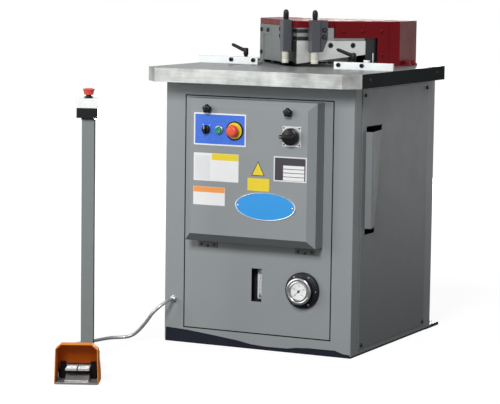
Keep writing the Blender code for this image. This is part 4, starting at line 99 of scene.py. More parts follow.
# The foot cable, from the gland on the cabinet to the rear of the post
CABLE_RADIUS = 0.0057
CABLE_POINT_SPACING = 0.005
CABLE_ROUTE = (
    (-0.2993, -0.3523, 0.1410), (-0.2994, -0.3620, 0.1409), (-0.3020, -0.3779, 0.1386),
    (-0.3077, -0.3923, 0.1326), (-0.3168, -0.4035, 0.1232), (-0.3284, -0.4096, 0.1110),
    (-0.3425, -0.4096, 0.0970), (-0.3575, -0.4040, 0.0799), (-0.3765, -0.3975, 0.0590),
    (-0.4020, -0.3885, 0.0350), (-0.4250, -0.3835, 0.0180), (-0.4455, -0.3848, 0.0092),
    (-0.4660, -0.3925, 0.0062), (-0.4850, -0.4085, 0.0060), (-0.4970, -0.4320, 0.0060),
    (-0.5045, -0.4600, 0.0060), (-0.5140, -0.5060, 0.0060), (-0.5260, -0.5550, 0.0060),
    (-0.5365, -0.6000, 0.0060), (-0.5365, -0.6370, 0.0060), (-0.5200, -0.6700, 0.0060),
    (-0.4890, -0.6900, 0.0060), (-0.4540, -0.6950, 0.0068), (-0.4240, -0.7020, 0.0105),
    (-0.4000, -0.7180, 0.0165), (-0.3810, -0.7440, 0.0225), (-0.3660, -0.7739, 0.0240),
)

# Ranges and depths of the finishes
NOISE_LOW, NOISE_HIGH = 0.3, 0.7
# Height above which the side paint has no painted shade towards the floor
FULL_COLOUR_HEIGHT = 0.85
PAINT_WEAR, METAL_WEAR = 0.0012, 0.0010
PAINT_DEPTH, METAL_DEPTH = 0.00005, 0.00006
COAT_OUTPUTS = (("Colour", "Color"), ("Roughness", "Float"), ("Height", "Float"))


# Properties

def seen(red, green, blue):
    """A colour as it shows on a screen, 0 to 255, turned into linear light."""
    def linear(value):
        share = value / 255
        return share / 12.92 if share <= 0.04045 else ((share + 0.055) / 1.055) ** 2.4
    return linear(red), linear(green), linear(blue)


def length(name, default, description):
    """A length that a user can change, in metres."""
    return FloatProperty(
        name=name, description=description, default=default, min=0.0, unit="LENGTH", precision=4
    )


def colour(name, default, description):
    """A colour that a user can change."""
    return FloatVectorProperty(
        name=name, description=description, default=default, subtype="COLOR", size=3, min=0.0, max=1.0
    )


class PressSizes(PropertyGroup):
    """Sizes of the detail on the finished pieces."""

    sheet_edge: length("Sheet Edge", 0.0007, "Rounding on the edges of folded sheet")
    cabinet_corner: length("Cabinet Corner", 0.004, "Radius of the cabinet's upright corners")
    ridge_corner: length("Ridge Corner", 0.005, "Radius along the top of the pressed side ridges")
    door_corner: length("Door Corner", 0.0022, "Radius of the folds round the door")
    block_edge: length("Block Edge", 0.0022, "Rounding on the cast hold-down blocks")
    steel_edge: length("Steel Edge", 0.0008, "Broken edge of ground steel pieces")
    blade_edge: length("Blade Edge", 0.0002, "Broken edge of the cutting blades")
    panel_screw_radius: length("Panel Screw Radius", 0.0060, "Head radius of the side panel screws")
    panel_screw_height: length("Panel Screw Height", 0.0042, "Head height of the side panel screws")
    guard_screw_radius: length("Guard Screw Radius", 0.0070, "Head radius of the screws in the arms")
    fence_screw_radius: length("Fence Screw Radius", 0.0070, "Head radius of the screws in the fences")
    bezel_width: length("Bezel Width", 0.0035, "Width of the gauge's inner bezel")
    film_thickness: length("Film Thickness", 0.0003, "Thickness of the labels on the door")


class PressColours(PropertyGroup):
    """Colours of the press."""

    cabinet: colour("Cabinet", seen(146, 151, 153), "Grey paint of the cabinet")
    base: colour("Base", seen(32, 34, 46), "Dark paint of the base")
    housing: colour("Housing", seen(106, 15, 21), "Red paint of the head")
    guard: colour("Guard", seen(106, 112, 111), "Grey paint of the guard plate")
    block: colour("Hold-down Block", seen(78, 80, 86), "Dark steel of the hold-down blocks")
    pad: colour("Pad", seen(204, 202, 190), "Nylon of the hold-down pads")
    film: colour("Control Film", seen(70, 118, 224), "Blue film round the controls")
    badge: colour("Badge", seen(58, 158, 232), "Blue enamel of the oval badge")
    hood: colour("Pedal Guard", seen(228, 138, 48), "Orange paint of the pedal guard")
    post: colour("Post", seen(130, 136, 136), "Grey paint of the post")
    cable: colour("Cable", seen(188, 191, 192), "Grey jacket of the cable")


# Node trees

def feed(tree, socket, value):
    """Links an output to a socket, or sets the socket's own value."""
    if isinstance(value, bpy.types.NodeSocket):
        tree.links.new(value, socket)
    else:
        socket.default_value = value


def node(tree, kind, inputs=None, **settings):
    """Adds a shader node with its settings and inputs."""
    made = tree.nodes.new("ShaderNode" + kind)
    for name, value in settings.items():
        setattr(made, name, value)
    for name, value in (inputs or {}).items():
        feed(tree, made.inputs[name], value)
    return made


def maths(tree, operation, *values, clamp=False):
    """The result of one Math node."""
    made = node(tree, "Math", operation=operation, use_clamp=clamp)
    for socket, value in zip(made.inputs, values):
        feed(tree, socket, value)
    return made.outputs[0]


def mixed(tree, share, first, second):
    """Two colours mixed by a share."""
    made = node(tree, "Mix", data_type="RGBA")
    for socket, value in zip((made.inputs[0], made.inputs[6], made.inputs[7]), (share, first, second)):
        feed(tree, socket, value)
    return made.outputs[2]


def ranged(tree, value, low, high, start, end):
    """A value stretched from one range to another."""
    limits = {"Value": value, "From Min": low, "From Max": high, "To Min": start, "To Max": end}
    return node(tree, "MapRange", limits).outputs[0]


def noise(tree, place, scale, detail=2.0, distortion=0.0):
    """A noise value at a place."""
    values = {"Vector": place, "Scale": scale, "Detail": detail, "Distortion": distortion}
    return node(tree, "TexNoise", values).outputs[0]


def spread(tree, value, start, end):
    """A noise value's usual range, stretched from a start to an end."""
    return ranged(tree, value, NOISE_LOW, NOISE_HIGH, start, end)


def swing(tree, value, amount):
    """A share round 1 that a noise value moves up and down by an amount."""
    low = maths(tree, "SUBTRACT", 1.0, amount)
    high = maths(tree, "ADD", 1.0, amount)
    return spread(tree, value, low, high)


def dimmed(tree, tone, share):
    """A colour made darker or brighter by a share."""
    return node(tree, "VectorMath", {"Vector": tone, "Scale": share}, operation="SCALE").outputs[0]


def object_place(tree):
    """The place on the object, in metres."""
    return node(tree, "TexCoord").outputs["Object"]


def stretched(tree, place, scale):
    """A place scaled along each axis."""
    return node(tree, "Mapping", {"Vector": place, "Scale": scale}).outputs[0]


def new_group(name, inputs, outputs=COAT_OUTPUTS):
    """An empty shader group with named sockets, and its two ends."""
    tree = bpy.data.node_groups.new(name, "ShaderNodeTree")
    for label, kind, default in inputs:
        socket = tree.interface.new_socket(label, in_out="INPUT", socket_type="NodeSocket" + kind)
        socket.default_value = default
    for label, kind in outputs:
        tree.interface.new_socket(label, in_out="OUTPUT", socket_type="NodeSocket" + kind)
    return tree, tree.nodes.new("NodeGroupInput").outputs, tree.nodes.new("NodeGroupOutput").inputs


def paint_group():
    """Sprayed paint: cloudy colour, uneven gloss and a fine orange peel."""
    tree, given, out = new_group(
        "Sprayed Paint",
        (("Colour", "Color", (0.5, 0.5, 0.5, 1)), ("Roughness", "Float", 0.4),
         ("Mottle", "Float", 0.03), ("Peel Scale", "Float", 420.0)),
    )
    place = object_place(tree)
    cloud = noise(tree, place, 5.0, 4.0)
    speck = noise(tree, place, 1600.0, 1.0)
    cloud_shade = swing(tree, cloud, given["Mottle"])
    speck_shade = ranged(tree, speck, 0.2, 0.8, 0.97, 1.03)
    shade = maths(tree, "MULTIPLY", cloud_shade, speck_shade)
    feed(tree, out["Colour"], dimmed(tree, given["Colour"], shade))
    gloss = spread(tree, noise(tree, place, 22.0, 5.0), -0.05, 0.06)
    feed(tree, out["Roughness"], maths(tree, "ADD", given["Roughness"], gloss))
    feed(tree, out["Height"], noise(tree, place, given["Peel Scale"], 2.0))


def metal_group():
    """Machined metal: fine lines drawn along one way, with brighter and duller patches."""
    tree, given, out = new_group(
        "Machined Metal",
        (("Colour", "Color", (0.7, 0.7, 0.7, 1)), ("Roughness", "Float", 0.3),
         ("Stretch", "Vector", (40, 900, 900)), ("Contrast", "Float", 0.1), ("Patches", "Float", 0.1)),
    )
    place = object_place(tree)
    lines = noise(tree, stretched(tree, place, given["Stretch"]), 1.0, 3.0)
    patches = noise(tree, place, 14.0, 3.0)
    line_shade, patch_shade = (
        maths(tree, "MULTIPLY", maths(tree, "SUBTRACT", value, 0.5), given[label])
        for value, label in ((lines, "Contrast"), (patches, "Patches"))
    )
    both = maths(tree, "MULTIPLY", maths(tree, "ADD", line_shade, patch_shade), 2.0)
    feed(tree, out["Colour"], dimmed(tree, given["Colour"], maths(tree, "ADD", 1.0, both)))
    rough = maths(tree, "ADD", given["Roughness"], maths(tree, "MULTIPLY", patch_shade, 0.8))
    feed(tree, out["Roughness"], maths(tree, "MAXIMUM", rough, 0.04))
    feed(tree, out["Height"], lines)


def wear_group():
    """Edge wear: a mask that is strongest on sharp outer edges, broken up by noise."""
    tree, given, out = new_group(
        "Edge Wear",
        (("Width", "Float", 0.0012), ("Amount", "Float", 0.5)),
        (("Mask", "Float"),),
    )
    softened = node(tree, "Bevel", {"Radius": given["Width"]}, samples=4).outputs[0]
    true_normal = node(tree, "NewGeometry").outputs["Normal"]
    likeness = node(tree, "VectorMath", operation="DOT_PRODUCT")
    feed(tree, likeness.inputs[0], softened)
    feed(tree, likeness.inputs[1], true_normal)
    edge = ranged(tree, likeness.outputs["Value"], 0.99, 0.85, 0.0, 1.0)
    broken = ranged(tree, noise(tree, object_place(tree), 120.0, 5.0), 0.42, 0.62, 0.1, 1.0)
    worn = maths(tree, "MULTIPLY", maths(tree, "MULTIPLY", edge, broken), given["Amount"], clamp=True)
    feed(tree, out["Mask"], worn)


def plastic_group():
    """Moulded plastic: a fine grain, with faint flow marks in the gloss."""
    tree, given, out = new_group(
        "Moulded Plastic",
        (("Colour", "Color", (0.1, 0.1, 0.1, 1)), ("Roughness", "Float", 0.35),
         ("Grain Scale", "Float", 1500.0), ("Flow", "Float", 0.05)),
    )
    place = object_place(tree)
    flow = noise(tree, place, 35.0, 3.0, 1.5)
    feed(tree, out["Colour"], dimmed(tree, given["Colour"], swing(tree, flow, given["Flow"])))
    gloss = spread(tree, flow, -0.04, 0.05)
    feed(tree, out["Roughness"], maths(tree, "ADD", given["Roughness"], gloss))
    feed(tree, out["Height"], noise(tree, place, given["Grain Scale"], 1.0))


def grouped(tree, name, values):
    """A shader group placed in a material with its own values."""
    made = tree.nodes.new("ShaderNodeGroup")
    made.node_tree = bpy.data.node_groups[name]
    for label, value in values.items():
        feed(tree, made.inputs[label], value)
    return made.outputs


def surface(name, **values):
    """A new material, with its tree and its Principled shader set to plain values."""
    material = bpy.data.materials.new(name)
    material.use_nodes = True
    shader = material.node_tree.nodes["Principled BSDF"]
    for label, value in values.items():
        shader.inputs[label.replace("_", " ")].default_value = value
    return material.node_tree, shader


def worn_through(tree, width, amount, coat, bare):
    """A coat's colour, worn through to a bare one along the edges."""
    mask = grouped(tree, "Edge Wear", {"Width": width, "Amount": amount})["Mask"]
    return mixed(tree, mask, coat, (*bare, 1))


def coated(tree, shader, tone, coat, depth):
    """Feeds a colour, and the roughness and height of a coat, to the shader."""
    feed(tree, shader.inputs["Base Color"], tone)
    feed(tree, shader.inputs["Roughness"], coat["Roughness"])
    bump = node(tree, "Bump", {"Height": coat["Height"], "Distance": depth, "Strength": 1.0})
    feed(tree, shader.inputs["Normal"], bump.outputs[0])


def painted(
    name, tone, roughness, peel=420.0, mottle=0.03, wear=0.3, bare=seen(176, 178, 178), sheen=0.25, foot=1.0,
):
    """A sprayed finish, thin and pale along its worn edges; a foot below 1 darkens it towards the floor as
    painted shade.
    """
    tree, shader = surface(name, Specular_IOR_Level=sheen)
    paint = grouped(tree, "Sprayed Paint", {
        "Colour": (*tone, 1), "Roughness": roughness, "Mottle": mottle, "Peel Scale": peel,
    })
    coat = paint["Colour"]
    # Painted shade: the colour grows darker from the full colour height down to the floor
    if foot < 1.0:
        height = node(tree, "SeparateXYZ", {"Vector": object_place(tree)}).outputs["Z"]
        coat = dimmed(tree, coat, ranged(tree, height, 0.0, FULL_COLOUR_HEIGHT, foot, 1.0))
    coated(tree, shader, worn_through(tree, PAINT_WEAR, wear, coat, bare), paint, PAINT_DEPTH)


def machined(name, tone, roughness, stretch, contrast, patches, metallic=1.0, wear=0.2):
    """A bare metal finish with tool lines, bright along its edges."""
    tree, shader = surface(name, Metallic=metallic, Specular_Tint=(0.55, 0.55, 0.55, 1))
    metal = grouped(tree, "Machined Metal", {
        "Colour": (*tone, 1), "Roughness": roughness, "Stretch": stretch,
        "Contrast": contrast, "Patches": patches,
    })
    tone = worn_through(tree, METAL_WEAR, wear, metal["Colour"], seen(225, 226, 226))
    coated(tree, shader, tone, metal, METAL_DEPTH)


def moulded(name, tone, roughness, grain=1500.0, depth=0.00003, flow=0.05, sheen=0.5, **values):
    """A moulded plastic finish."""
    tree, shader = surface(name, Specular_IOR_Level=sheen, **values)
    plastic = grouped(tree, "Moulded Plastic", {
        "Colour": (*tone, 1), "Roughness": roughness, "Grain Scale": grain, "Flow": flow,
    })
    coated(tree, shader, plastic["Colour"], plastic, depth)


def clear(name, tint, roughness):
    """A clear window or lens."""
    tree, shader = surface(name, Transmission_Weight=1.0, IOR=1.45)
    shader.inputs["Base Color"].default_value = (*tint, 1)
    smear = noise(tree, object_place(tree), 60.0, 4.0)
    feed(tree, shader.inputs["Roughness"], spread(tree, smear, roughness, roughness + 0.04))


# Shapes

def placed(centre, axis=(0, 0, 1), turn=0.0):
    """The frame at a centre whose Z looks along an axis."""
    look = Vector(axis).to_track_quat("Z", "Y").to_matrix().to_4x4()
    return Matrix.Translation(centre) @ look @ Matrix.Rotation(turn, 4, "Z")


def on_front(x, y, z):
    """A frame on a front face: X runs right, Y runs up and Z looks out at the user."""
    return Matrix.Translation((x, y, z)) @ Matrix.Rotation(math.radians(90), 4, "X")


def round_centre(where, radius, turn=0.0, height=0.0):
    """A frame on a circle round the Z of another frame."""
    return where @ Matrix.Rotation(turn, 4, "Z") @ Matrix.Translation((radius, 0, height))


def on_arm(side, along=0.0, depth=0.0, height=0.0):
    """A frame on an arm of the head: X runs along the arm, Y out from its face and Z up."""
    spot = Vector((side * (along + depth) * DIAGONAL, HEAD_FRONT_Y + (along - depth) * DIAGONAL, height))
    made = Matrix.Translation(spot)
    made.col[0] = (side * DIAGONAL, DIAGONAL, 0, 0)
    made.col[1] = (side * DIAGONAL, -DIAGONAL, 0, 0)
    return made


def out_of_arm(side, along, depth, height):
    """A frame on an arm whose Z looks out from the arm's face."""
    return placed(on_arm(side, along, depth, height).translation, (side, -1, 0))


def on_station(across=0.0, back=0.0, up=0.0):
    """A frame on the foot station: X runs across it, Y back from its front and Z up."""
    return (
        Matrix.Translation(STATION_PLACE) @ Matrix.Rotation(STATION_TURN, 4, "Z")
        @ Matrix.Translation((across, back, up))
    )


def moved(shape, where):
    """Moves a shape into a frame, and turns its faces back where the frame mirrors them."""
    bmesh.ops.transform(shape, matrix=where, verts=shape.verts)
    if where.determinant() < 0:
        bmesh.ops.reverse_faces(shape, faces=shape.faces)
    return shape


def slab(low, high, where=None, corner=0.0, axis="Z"):
    """A block between two corners, with rounded edges along one axis."""
    shape = bmesh.new()
    bmesh.ops.create_cube(shape, size=1.0)
    low, high = Vector(low), Vector(high)
    bmesh.ops.scale(shape, vec=high - low, verts=shape.verts)
    bmesh.ops.translate(shape, vec=(low + high) / 2, verts=shape.verts)
    if corner:
        along = "XYZ".index(axis)
        edges = [
            edge for edge in shape.edges
            if abs((edge.verts[0].co - edge.verts[1].co)[along]) > 1e-6
        ]
        bevelled(shape, edges, corner, 4)
    return moved(shape, where) if where else shape


def bevelled(shape, edges, radius, segments):
    """Rounds some edges of a shape."""
    bmesh.ops.bevel(
        shape, geom=edges, offset=radius, offset_type="OFFSET", segments=segments, profile=0.5,
        affect="EDGES", material=-1, clamp_overlap=True,
    )
    return shape


def rounded(shape, test, radius, segments=4):
    """Rounds the sharp edges both of whose ends pass a test."""
    edges = [
        edge for edge in shape.edges
        if edge.calc_face_angle(0) > 0.4 and all(test(vertex.co) for vertex in edge.verts)
    ]
    return bevelled(shape, edges, radius, segments)


def ring(shape, sides, radius, where):
    """The edges of a new circle of a shape that has lost no edge so far."""
    bmesh.ops.create_circle(shape, segments=sides, radius=radius, matrix=where)
    shape.edges.ensure_lookup_table()
    return shape.edges[-sides:]


def bridged(shape, rings):
    """Joins a row of rings and closes both ends."""
    for first, second in zip(rings, rings[1:]):
        bmesh.ops.bridge_loops(shape, edges=first + second)
    bmesh.ops.holes_fill(shape, edges=shape.edges, sides=0)
    bmesh.ops.recalc_face_normals(shape, faces=shape.faces)
    return shape


def stacked(levels, where):
    """A turned solid from rings of sides, radius and height, closed at both ends."""
    shape = bmesh.new()
    rings = [
        ring(shape, sides, radius, Matrix.Translation((0, 0, height))) for sides, radius, height in levels
    ]
    return moved(bridged(shape, rings), where)


def lathe(profile, where, sides=48):
    """A solid spun from a profile of radius and height that starts and ends on the axis."""
    shape = bmesh.new()
    points = [shape.verts.new((radius, 0, height)) for radius, height in profile]
    edges = [shape.edges.new(pair) for pair in zip(points, points[1:])]
    bmesh.ops.spin(
        shape, geom=points + edges, cent=(0, 0, 0), axis=(0, 0, 1), dvec=(0, 0, 0), angle=math.tau,
        steps=sides, use_merge=True,
    )
    bmesh.ops.remove_doubles(shape, verts=shape.verts, dist=1e-6)
    bmesh.ops.recalc_face_normals(shape, faces=shape.faces)
    return moved(shape, where)


def lobed(levels, where, lobes, depth, sides=80):
    """A turned grip whose radius swells into lobes."""
    shape = stacked([(sides, radius, height) for radius, height in levels], Matrix.Identity(4))
    for vertex in shape.verts:
        turn = math.atan2(vertex.co.y, vertex.co.x)
        vertex.co.xy = vertex.co.xy * (1 + depth * math.cos(lobes * turn))
    return moved(shape, where)


def swept(path, radii, sides=20):
    """A round bar along a path, with a radius at each point."""
    shape = bmesh.new()
    points = [Vector(point) for point in path]
    rings = []
    for number, (point, radius) in enumerate(zip(points, radii)):
        ahead = points[min(number + 1, len(points) - 1)] - points[max(number - 1, 0)]
        rings.append(ring(shape, sides, radius, placed(point, ahead)))
    return bridged(shape, rings)


def outline(points, start, end, where):
    """A flat plate: its outline in X and Y, raised along Z."""
    shape = bmesh.new()
    bottom = shape.faces.new([shape.verts.new((x, y, start)) for x, y in points])
    raised_part = bmesh.ops.extrude_face_region(shape, geom=[bottom])["geom"]
    tops = [part for part in raised_part if isinstance(part, bmesh.types.BMVert)]
    bmesh.ops.translate(shape, vec=(0, 0, end - start), verts=tops)
    bmesh.ops.recalc_face_normals(shape, faces=shape.faces)
    return moved(shape, where)


def as_mesh(name, shape):
    """A shape as a new mesh, and the shape let go."""
    mesh = bpy.data.meshes.new(name)
    shape.to_mesh(mesh)
    shape.free()
    return mesh


def added(name, data):
    """A new object of the scene, with its mesh, curve, lamp or camera."""
    made = bpy.data.objects.new(name, data)
    bpy.context.scene.collection.objects.link(made)
    return made


def merged(*shapes):
    """Several shapes as one."""
    whole = bmesh.new()
    for shape in shapes:
        mesh = as_mesh("part", shape)
        whole.from_mesh(mesh)
        bpy.data.meshes.remove(mesh)
    return whole


def tint(shape, index, test=None):
    """Gives a shape's faces, or those that pass a test, one of the piece's finishes."""
    for face in shape.faces:
        if test is None or test(face):
            face.material_index = index
    return shape


def height_of(face):
    """The height of a face's middle."""
    return face.calc_center_median().z


def trimmed(name):
    """A copy of a node's solid with its flat faces whole again."""
    shape = bmesh.new()
    shape.from_mesh(NODES[name].data)
    bmesh.ops.remove_doubles(shape, verts=shape.verts, dist=1e-5)
    bmesh.ops.dissolve_limit(shape, angle_limit=math.radians(0.5), verts=shape.verts, edges=shape.edges)
    for face in shape.faces:
        face.material_index = 0
    return shape


def socket_screw(where, radius, height):
    """A socket head screw with a hexagon hole."""
    return stacked((
        (24, radius, -SCREW_SINK), (24, radius, height * 0.75), (24, radius * 0.86, height),
        (6, radius * 0.52, height), (6, radius * 0.52, height * 0.35),
    ), where)


def button_screw(where, radius, height):
    """A low domed screw with a hexagon hole."""
    return stacked((
        (24, radius, -SCREW_SINK), (24, radius, height * 0.4), (24, radius * 0.88, height * 0.75),
        (24, radius * 0.65, height), (6, radius * 0.42, height), (6, radius * 0.42, height * 0.4),
    ), where)


def hexagon_bolt(where, radius, height):
    """A bolt with a chamfered hexagon head on a washer."""
    washer = stacked(((28, radius * 1.25, -SCREW_SINK), (28, radius * 1.25, height * 0.15)), where)
    head = stacked(((6, radius, height * 0.1), (6, radius, height * 0.9), (24, radius * 0.8, height)), where)
    return merged(washer, head)


def piece(name, shape, looks, body, replaces=(), bevel=0.0, segments=2):
    """Makes one finished piece of a shape, rounds its sharp edges and puts it on its body."""
    mesh = as_mesh(name, shape)
    mesh.shade_smooth()
    mesh.set_sharp_from_angle(angle=math.radians(38))
    for look in looks:
        mesh.materials.append(bpy.data.materials[look])
    made = added(name, mesh)
    if bevel:
        edge = made.modifiers.new("Rounded Edges", "BEVEL")
        edge.width = bevel
        edge.segments = segments
        edge.limit_method = "ANGLE"
        edge.angle_limit = math.radians(40)
        shading = made.modifiers.new("Flat Faces", "WEIGHTED_NORMAL")
        shading.keep_sharp = True
    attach(made, body)
    if replaces:
        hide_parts(*replaces)
    return made


def dress(name, looks, bevel=0.0, shape=None, segments=2):
    """Stands a finished copy of a node, or another shape, in for that node."""
    return piece(
        "finished_" + name, shape or trimmed(name), looks, NODES[name]["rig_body"], (name,),
        bevel, segments,
    )


def add_on(name, shape, looks, node_name, bevel=0.0):
    """A further piece that rides with a node's body."""
    return piece(name, shape, looks, NODES[node_name]["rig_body"], (), bevel)


def fasteners(name, kind, places, radius, height, node_name, look="Black Oxide"):
    """Like screws at several places, as one further piece that rides with a node."""
    add_on(name, merged(*(kind(where, radius, height) for where in places)), [look], node_name)


def middle(name):
    """The centre of a node's box."""
    low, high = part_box(name)
    return (low + high) / 2


def half_size(name):
    """Half the size of a node's box."""
    low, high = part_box(name)
    return (high - low) / 2


# Operators

class PressStep:
    """What every step shares."""

    bl_options = {"REGISTER", "UNDO"}

    def execute(self, context):
        """Runs the step with the press's sizes."""
        self.make(context.scene.press_sizes)
        return {"FINISHED"}


class PRESS_OT_camera(PressStep, Operator):
    """Set up the camera at the angle of the product view"""

    bl_idname = "press.camera"
    bl_label = "Camera"

    spot = (3.0248, -6.5772, 1.2551)
    yaw, pitch, roll = 0.455, 0.1117, 0.0141
    focal_pixels, width_pixels = 2182.89, 500
    sensor, far_limit = 36.0, 60.0

    def make(self, sizes):
        data = bpy.data.cameras.new("product_view")
        data.sensor_fit = "HORIZONTAL"
        data.sensor_width = self.sensor
        data.lens = self.focal_pixels / self.width_pixels * self.sensor
        data.clip_end = self.far_limit
        camera = added("product_view", data)
        level = Vector((math.cos(self.yaw), math.sin(self.yaw), 0.0))
        ahead = Vector((-level.y, level.x, 0.0)) * math.cos(self.pitch)
        ahead.z = -math.sin(self.pitch)
        upright = level.cross(ahead)
        right = level * math.cos(self.roll) + upright * math.sin(self.roll)
        up = upright * math.cos(self.roll) - level * math.sin(self.roll)
        turned = Matrix((right, up, -ahead)).transposed().to_4x4()
        camera.matrix_world = Matrix.Translation(self.spot) @ turned
        bpy.context.scene.camera = camera


class PRESS_OT_finishes(PressStep, Operator):
    """Mix the paints, metals, plastics and prints of the press"""

    bl_idname = "press.finishes"
    bl_label = "Finishes"

    def make(self, sizes):
        colours = bpy.context.scene.press_colours
        paint_group()
        metal_group()
        wear_group()
        plastic_group()
        self.mix_paints(colours)
        self.mix_metals()
        self.mix_plastics(colours)
        self.mix_prints(colours)
        clear("Gauge Lens", (0.98, 0.99, 0.99), 0.02)
        clear("Level Window", (0.80, 0.86, 0.84), 0.06)

    def mix_paints(self, colours):
        """The sprayed paints."""
        painted("Cabinet Paint", colours.cabinet, 0.38, mottle=0.02)
        # The cabinet's sides: a darker copy of the cabinet paint, painted shade that grows darker towards
        # the floor
        painted("Cabinet Side Shade Paint", [share * 0.88 for share in colours.cabinet], 0.38, mottle=0.02, foot=0.76)
        # A much darker copy of the cabinet paint: painted shade on the door's downward folds
        painted("Door Fold Painted Shade", [share * 0.45 for share in colours.cabinet], 0.42, mottle=0.02, wear=0.5)
        painted("Base Paint", colours.base, 0.50, mottle=0.06, wear=0.3, bare=seen(80, 82, 92), sheen=0.12)
        painted(
            "Housing Paint", colours.housing, 0.36, mottle=0.04, wear=0.25, bare=seen(150, 84, 88),
            sheen=0.12,
        )
        painted("Guard Paint", colours.guard, 0.36, wear=0.35)
        painted(
            "Hood Paint", colours.hood, 0.55, mottle=0.04, wear=0.4, bare=seen(240, 176, 116), sheen=0.06,
        )
        # Painted shade inside the pedal guard, and a brighter orange as painted light on its left inner wall
        painted("Hood Inside Painted Shade", seen(196, 92, 16), 0.5, mottle=0.05, wear=0.1, sheen=0.1)
        painted("Hood Left Painted Light", seen(255, 150, 40), 0.5, mottle=0.05, wear=0.1, sheen=0.1)
        painted("Post Paint", colours.post, 0.40)
        # A darker copy of the post paint without gloss: painted shade on the right-facing faces of the post
        # and stop box
        painted("Post Right Painted Shade", seen(92, 96, 98), 0.6, sheen=0.0)
        painted("Block Paint", colours.block, 0.42, peel=700.0, mottle=0.10, wear=0.6)
        # A dark, glossless steel colour: painted shade on the table's right and rear edges and on the fence
        # tops
        painted(
            "Steel Side Painted Shade", seen(60, 64, 65), 0.5, mottle=0.10, wear=0.2, bare=seen(110, 113, 113),
            sheen=0.0,
        )
        painted("Hinge Paint", seen(112, 116, 114), 0.42, mottle=0.06, wear=0.4)
        painted("Box Paint", seen(166, 168, 164), 0.45)
        painted("Tank Paint", seen(52, 54, 58), 0.42, mottle=0.05)
        painted("Motor Paint", seen(58, 64, 76), 0.45, mottle=0.08)
        painted("Switch Housing Paint", seen(82, 84, 84), 0.45, mottle=0.08, wear=0.5)

    def mix_metals(self):
        """The bare and plated metals, with the way that their tool lines run."""
        machined("Table Top Steel", seen(160, 163, 164), 0.35, (9, 260, 260), 0.16, 0.22, wear=0.1)
        machined("Table Edge Steel", seen(176, 178, 175), 0.40, (16, 500, 260), 0.25, 0.8, 0.6, wear=0.1)
        machined("Blade Steel", seen(204, 206, 204), 0.36, (12, 12, 700), 0.14, 0.16, 0.7)
        machined("Shaded Steel", seen(58, 58, 54), 0.40, (12, 12, 700), 0.14, 0.30, 0.7)
        machined("Shadow Steel", seen(30, 31, 32), 0.45, (12, 12, 700), 0.14, 0.30, 0.4, wear=0.1)
        machined("Ram Steel", seen(150, 151, 152), 0.34, (14, 14, 600), 0.24, 0.40, 0.8)
        machined("Fence Steel", seen(216, 220, 220), 0.34, (16, 500, 500), 0.10, 0.10, 0.7)
        # A darker copy of the fence steel: painted shade on the left fence
        machined("Left Fence Steel With Painted Shade", seen(196, 200, 200), 0.42, (16, 500, 500), 0.10, 0.10, 0.7)
        machined("Guide Steel", seen(58, 60, 62), 0.40, (20, 20, 500), 0.2, 0.3)
        machined("Black Oxide", seen(44, 45, 48), 0.36, (300, 300, 300), 0.2, 0.3, wear=0.15)
        machined("Stud Steel", seen(176, 177, 178), 0.26, (300, 300, 60), 0.2, 0.1)
        machined("Plate Aluminium", seen(204, 206, 206), 0.34, (30, 700, 700), 0.12, 0.08, 0.5)
        machined("Collar Aluminium", seen(150, 154, 158), 0.30, (300, 300, 300), 0.10, 0.10)
        machined("Gauge Steel", seen(168, 170, 172), 0.16, (200, 900, 200), 0.08, 0.10)
        machined("Badge Steel", seen(224, 228, 232), 0.20, (200, 900, 200), 0.06, 0.08)
        machined("Gland Plating", seen(196, 198, 200), 0.20, (300, 300, 300), 0.10, 0.15)
        machined("Station Steel", seen(134, 136, 137), 0.42, (24, 300, 300), 0.20, 0.35, 0.35)
        machined("Treadle Aluminium", seen(206, 207, 206), 0.34, (300, 22, 300), 0.22, 0.25, 0.7)
        machined("Zinc Sheet", seen(150, 153, 156), 0.38, (60, 60, 60), 0.2, 0.5)
        machined("Cylinder Steel", seen(96, 99, 104), 0.36, (200, 200, 30), 0.15, 0.3)

    def mix_plastics(self, colours):
        """The moulded plastics, rubber and nylon."""
        moulded("Black Plastic", seen(20, 21, 23), 0.24, sheen=0.22)
        moulded("Lever Plastic", seen(16, 17, 18), 0.34, 900.0, sheen=0.2)
        moulded("Flange Plastic", seen(24, 26, 34), 0.36, sheen=0.2)
        moulded("Green Plastic", seen(22, 146, 104), 0.25, sheen=0.4)
        moulded("Red Plastic", seen(238, 92, 66), 0.27, sheen=0.3)
        moulded("Station Red Plastic", seen(216, 78, 66), 0.27, sheen=0.3)
        moulded("White Plastic", seen(246, 247, 248), 0.34)
        # A grey, glossless copy of the white cover plastic: painted shade on the cover's right faces
        moulded("Cover Right Painted Shade", seen(200, 204, 204), 0.6, sheen=0.0)
        moulded("Pad Nylon", colours.pad, 0.38, Subsurface_Weight=0.15, Subsurface_Scale=0.002)
        moulded("Needle Black", seen(16, 16, 17), 0.5)
        # Black rubber; also painted shade inside the head's walls and in the pedal guard
        moulded("Black Rubber And Painted Shade", seen(14, 14, 16), 0.6, sheen=0.1)
        moulded("Level Body", seen(240, 242, 242), 0.24)
        moulded("Cable Jacket", colours.cable, 0.26, 700.0, Metallic=0.6)

    def mix_prints(self, colours):
        """The smooth printed films, the enamel and the dial."""
        prints = (
            ("Blue Print", colours.film, 0.26), ("White Print", seen(238, 239, 239), 0.32),
            ("Yellow Print", seen(238, 212, 56), 0.32), ("Orange Print", seen(244, 160, 86), 0.32),
            ("Dark Print", seen(66, 62, 68), 0.36), ("Pale Print", seen(226, 228, 230), 0.34),
            ("Badge Enamel", colours.badge, 0.20), ("Dial White", seen(236, 237, 235), 0.4),
        )
        for name, tone, roughness in prints:
            moulded(name, tone, roughness, 2400.0, 0.00001, 0.01, 0.3)


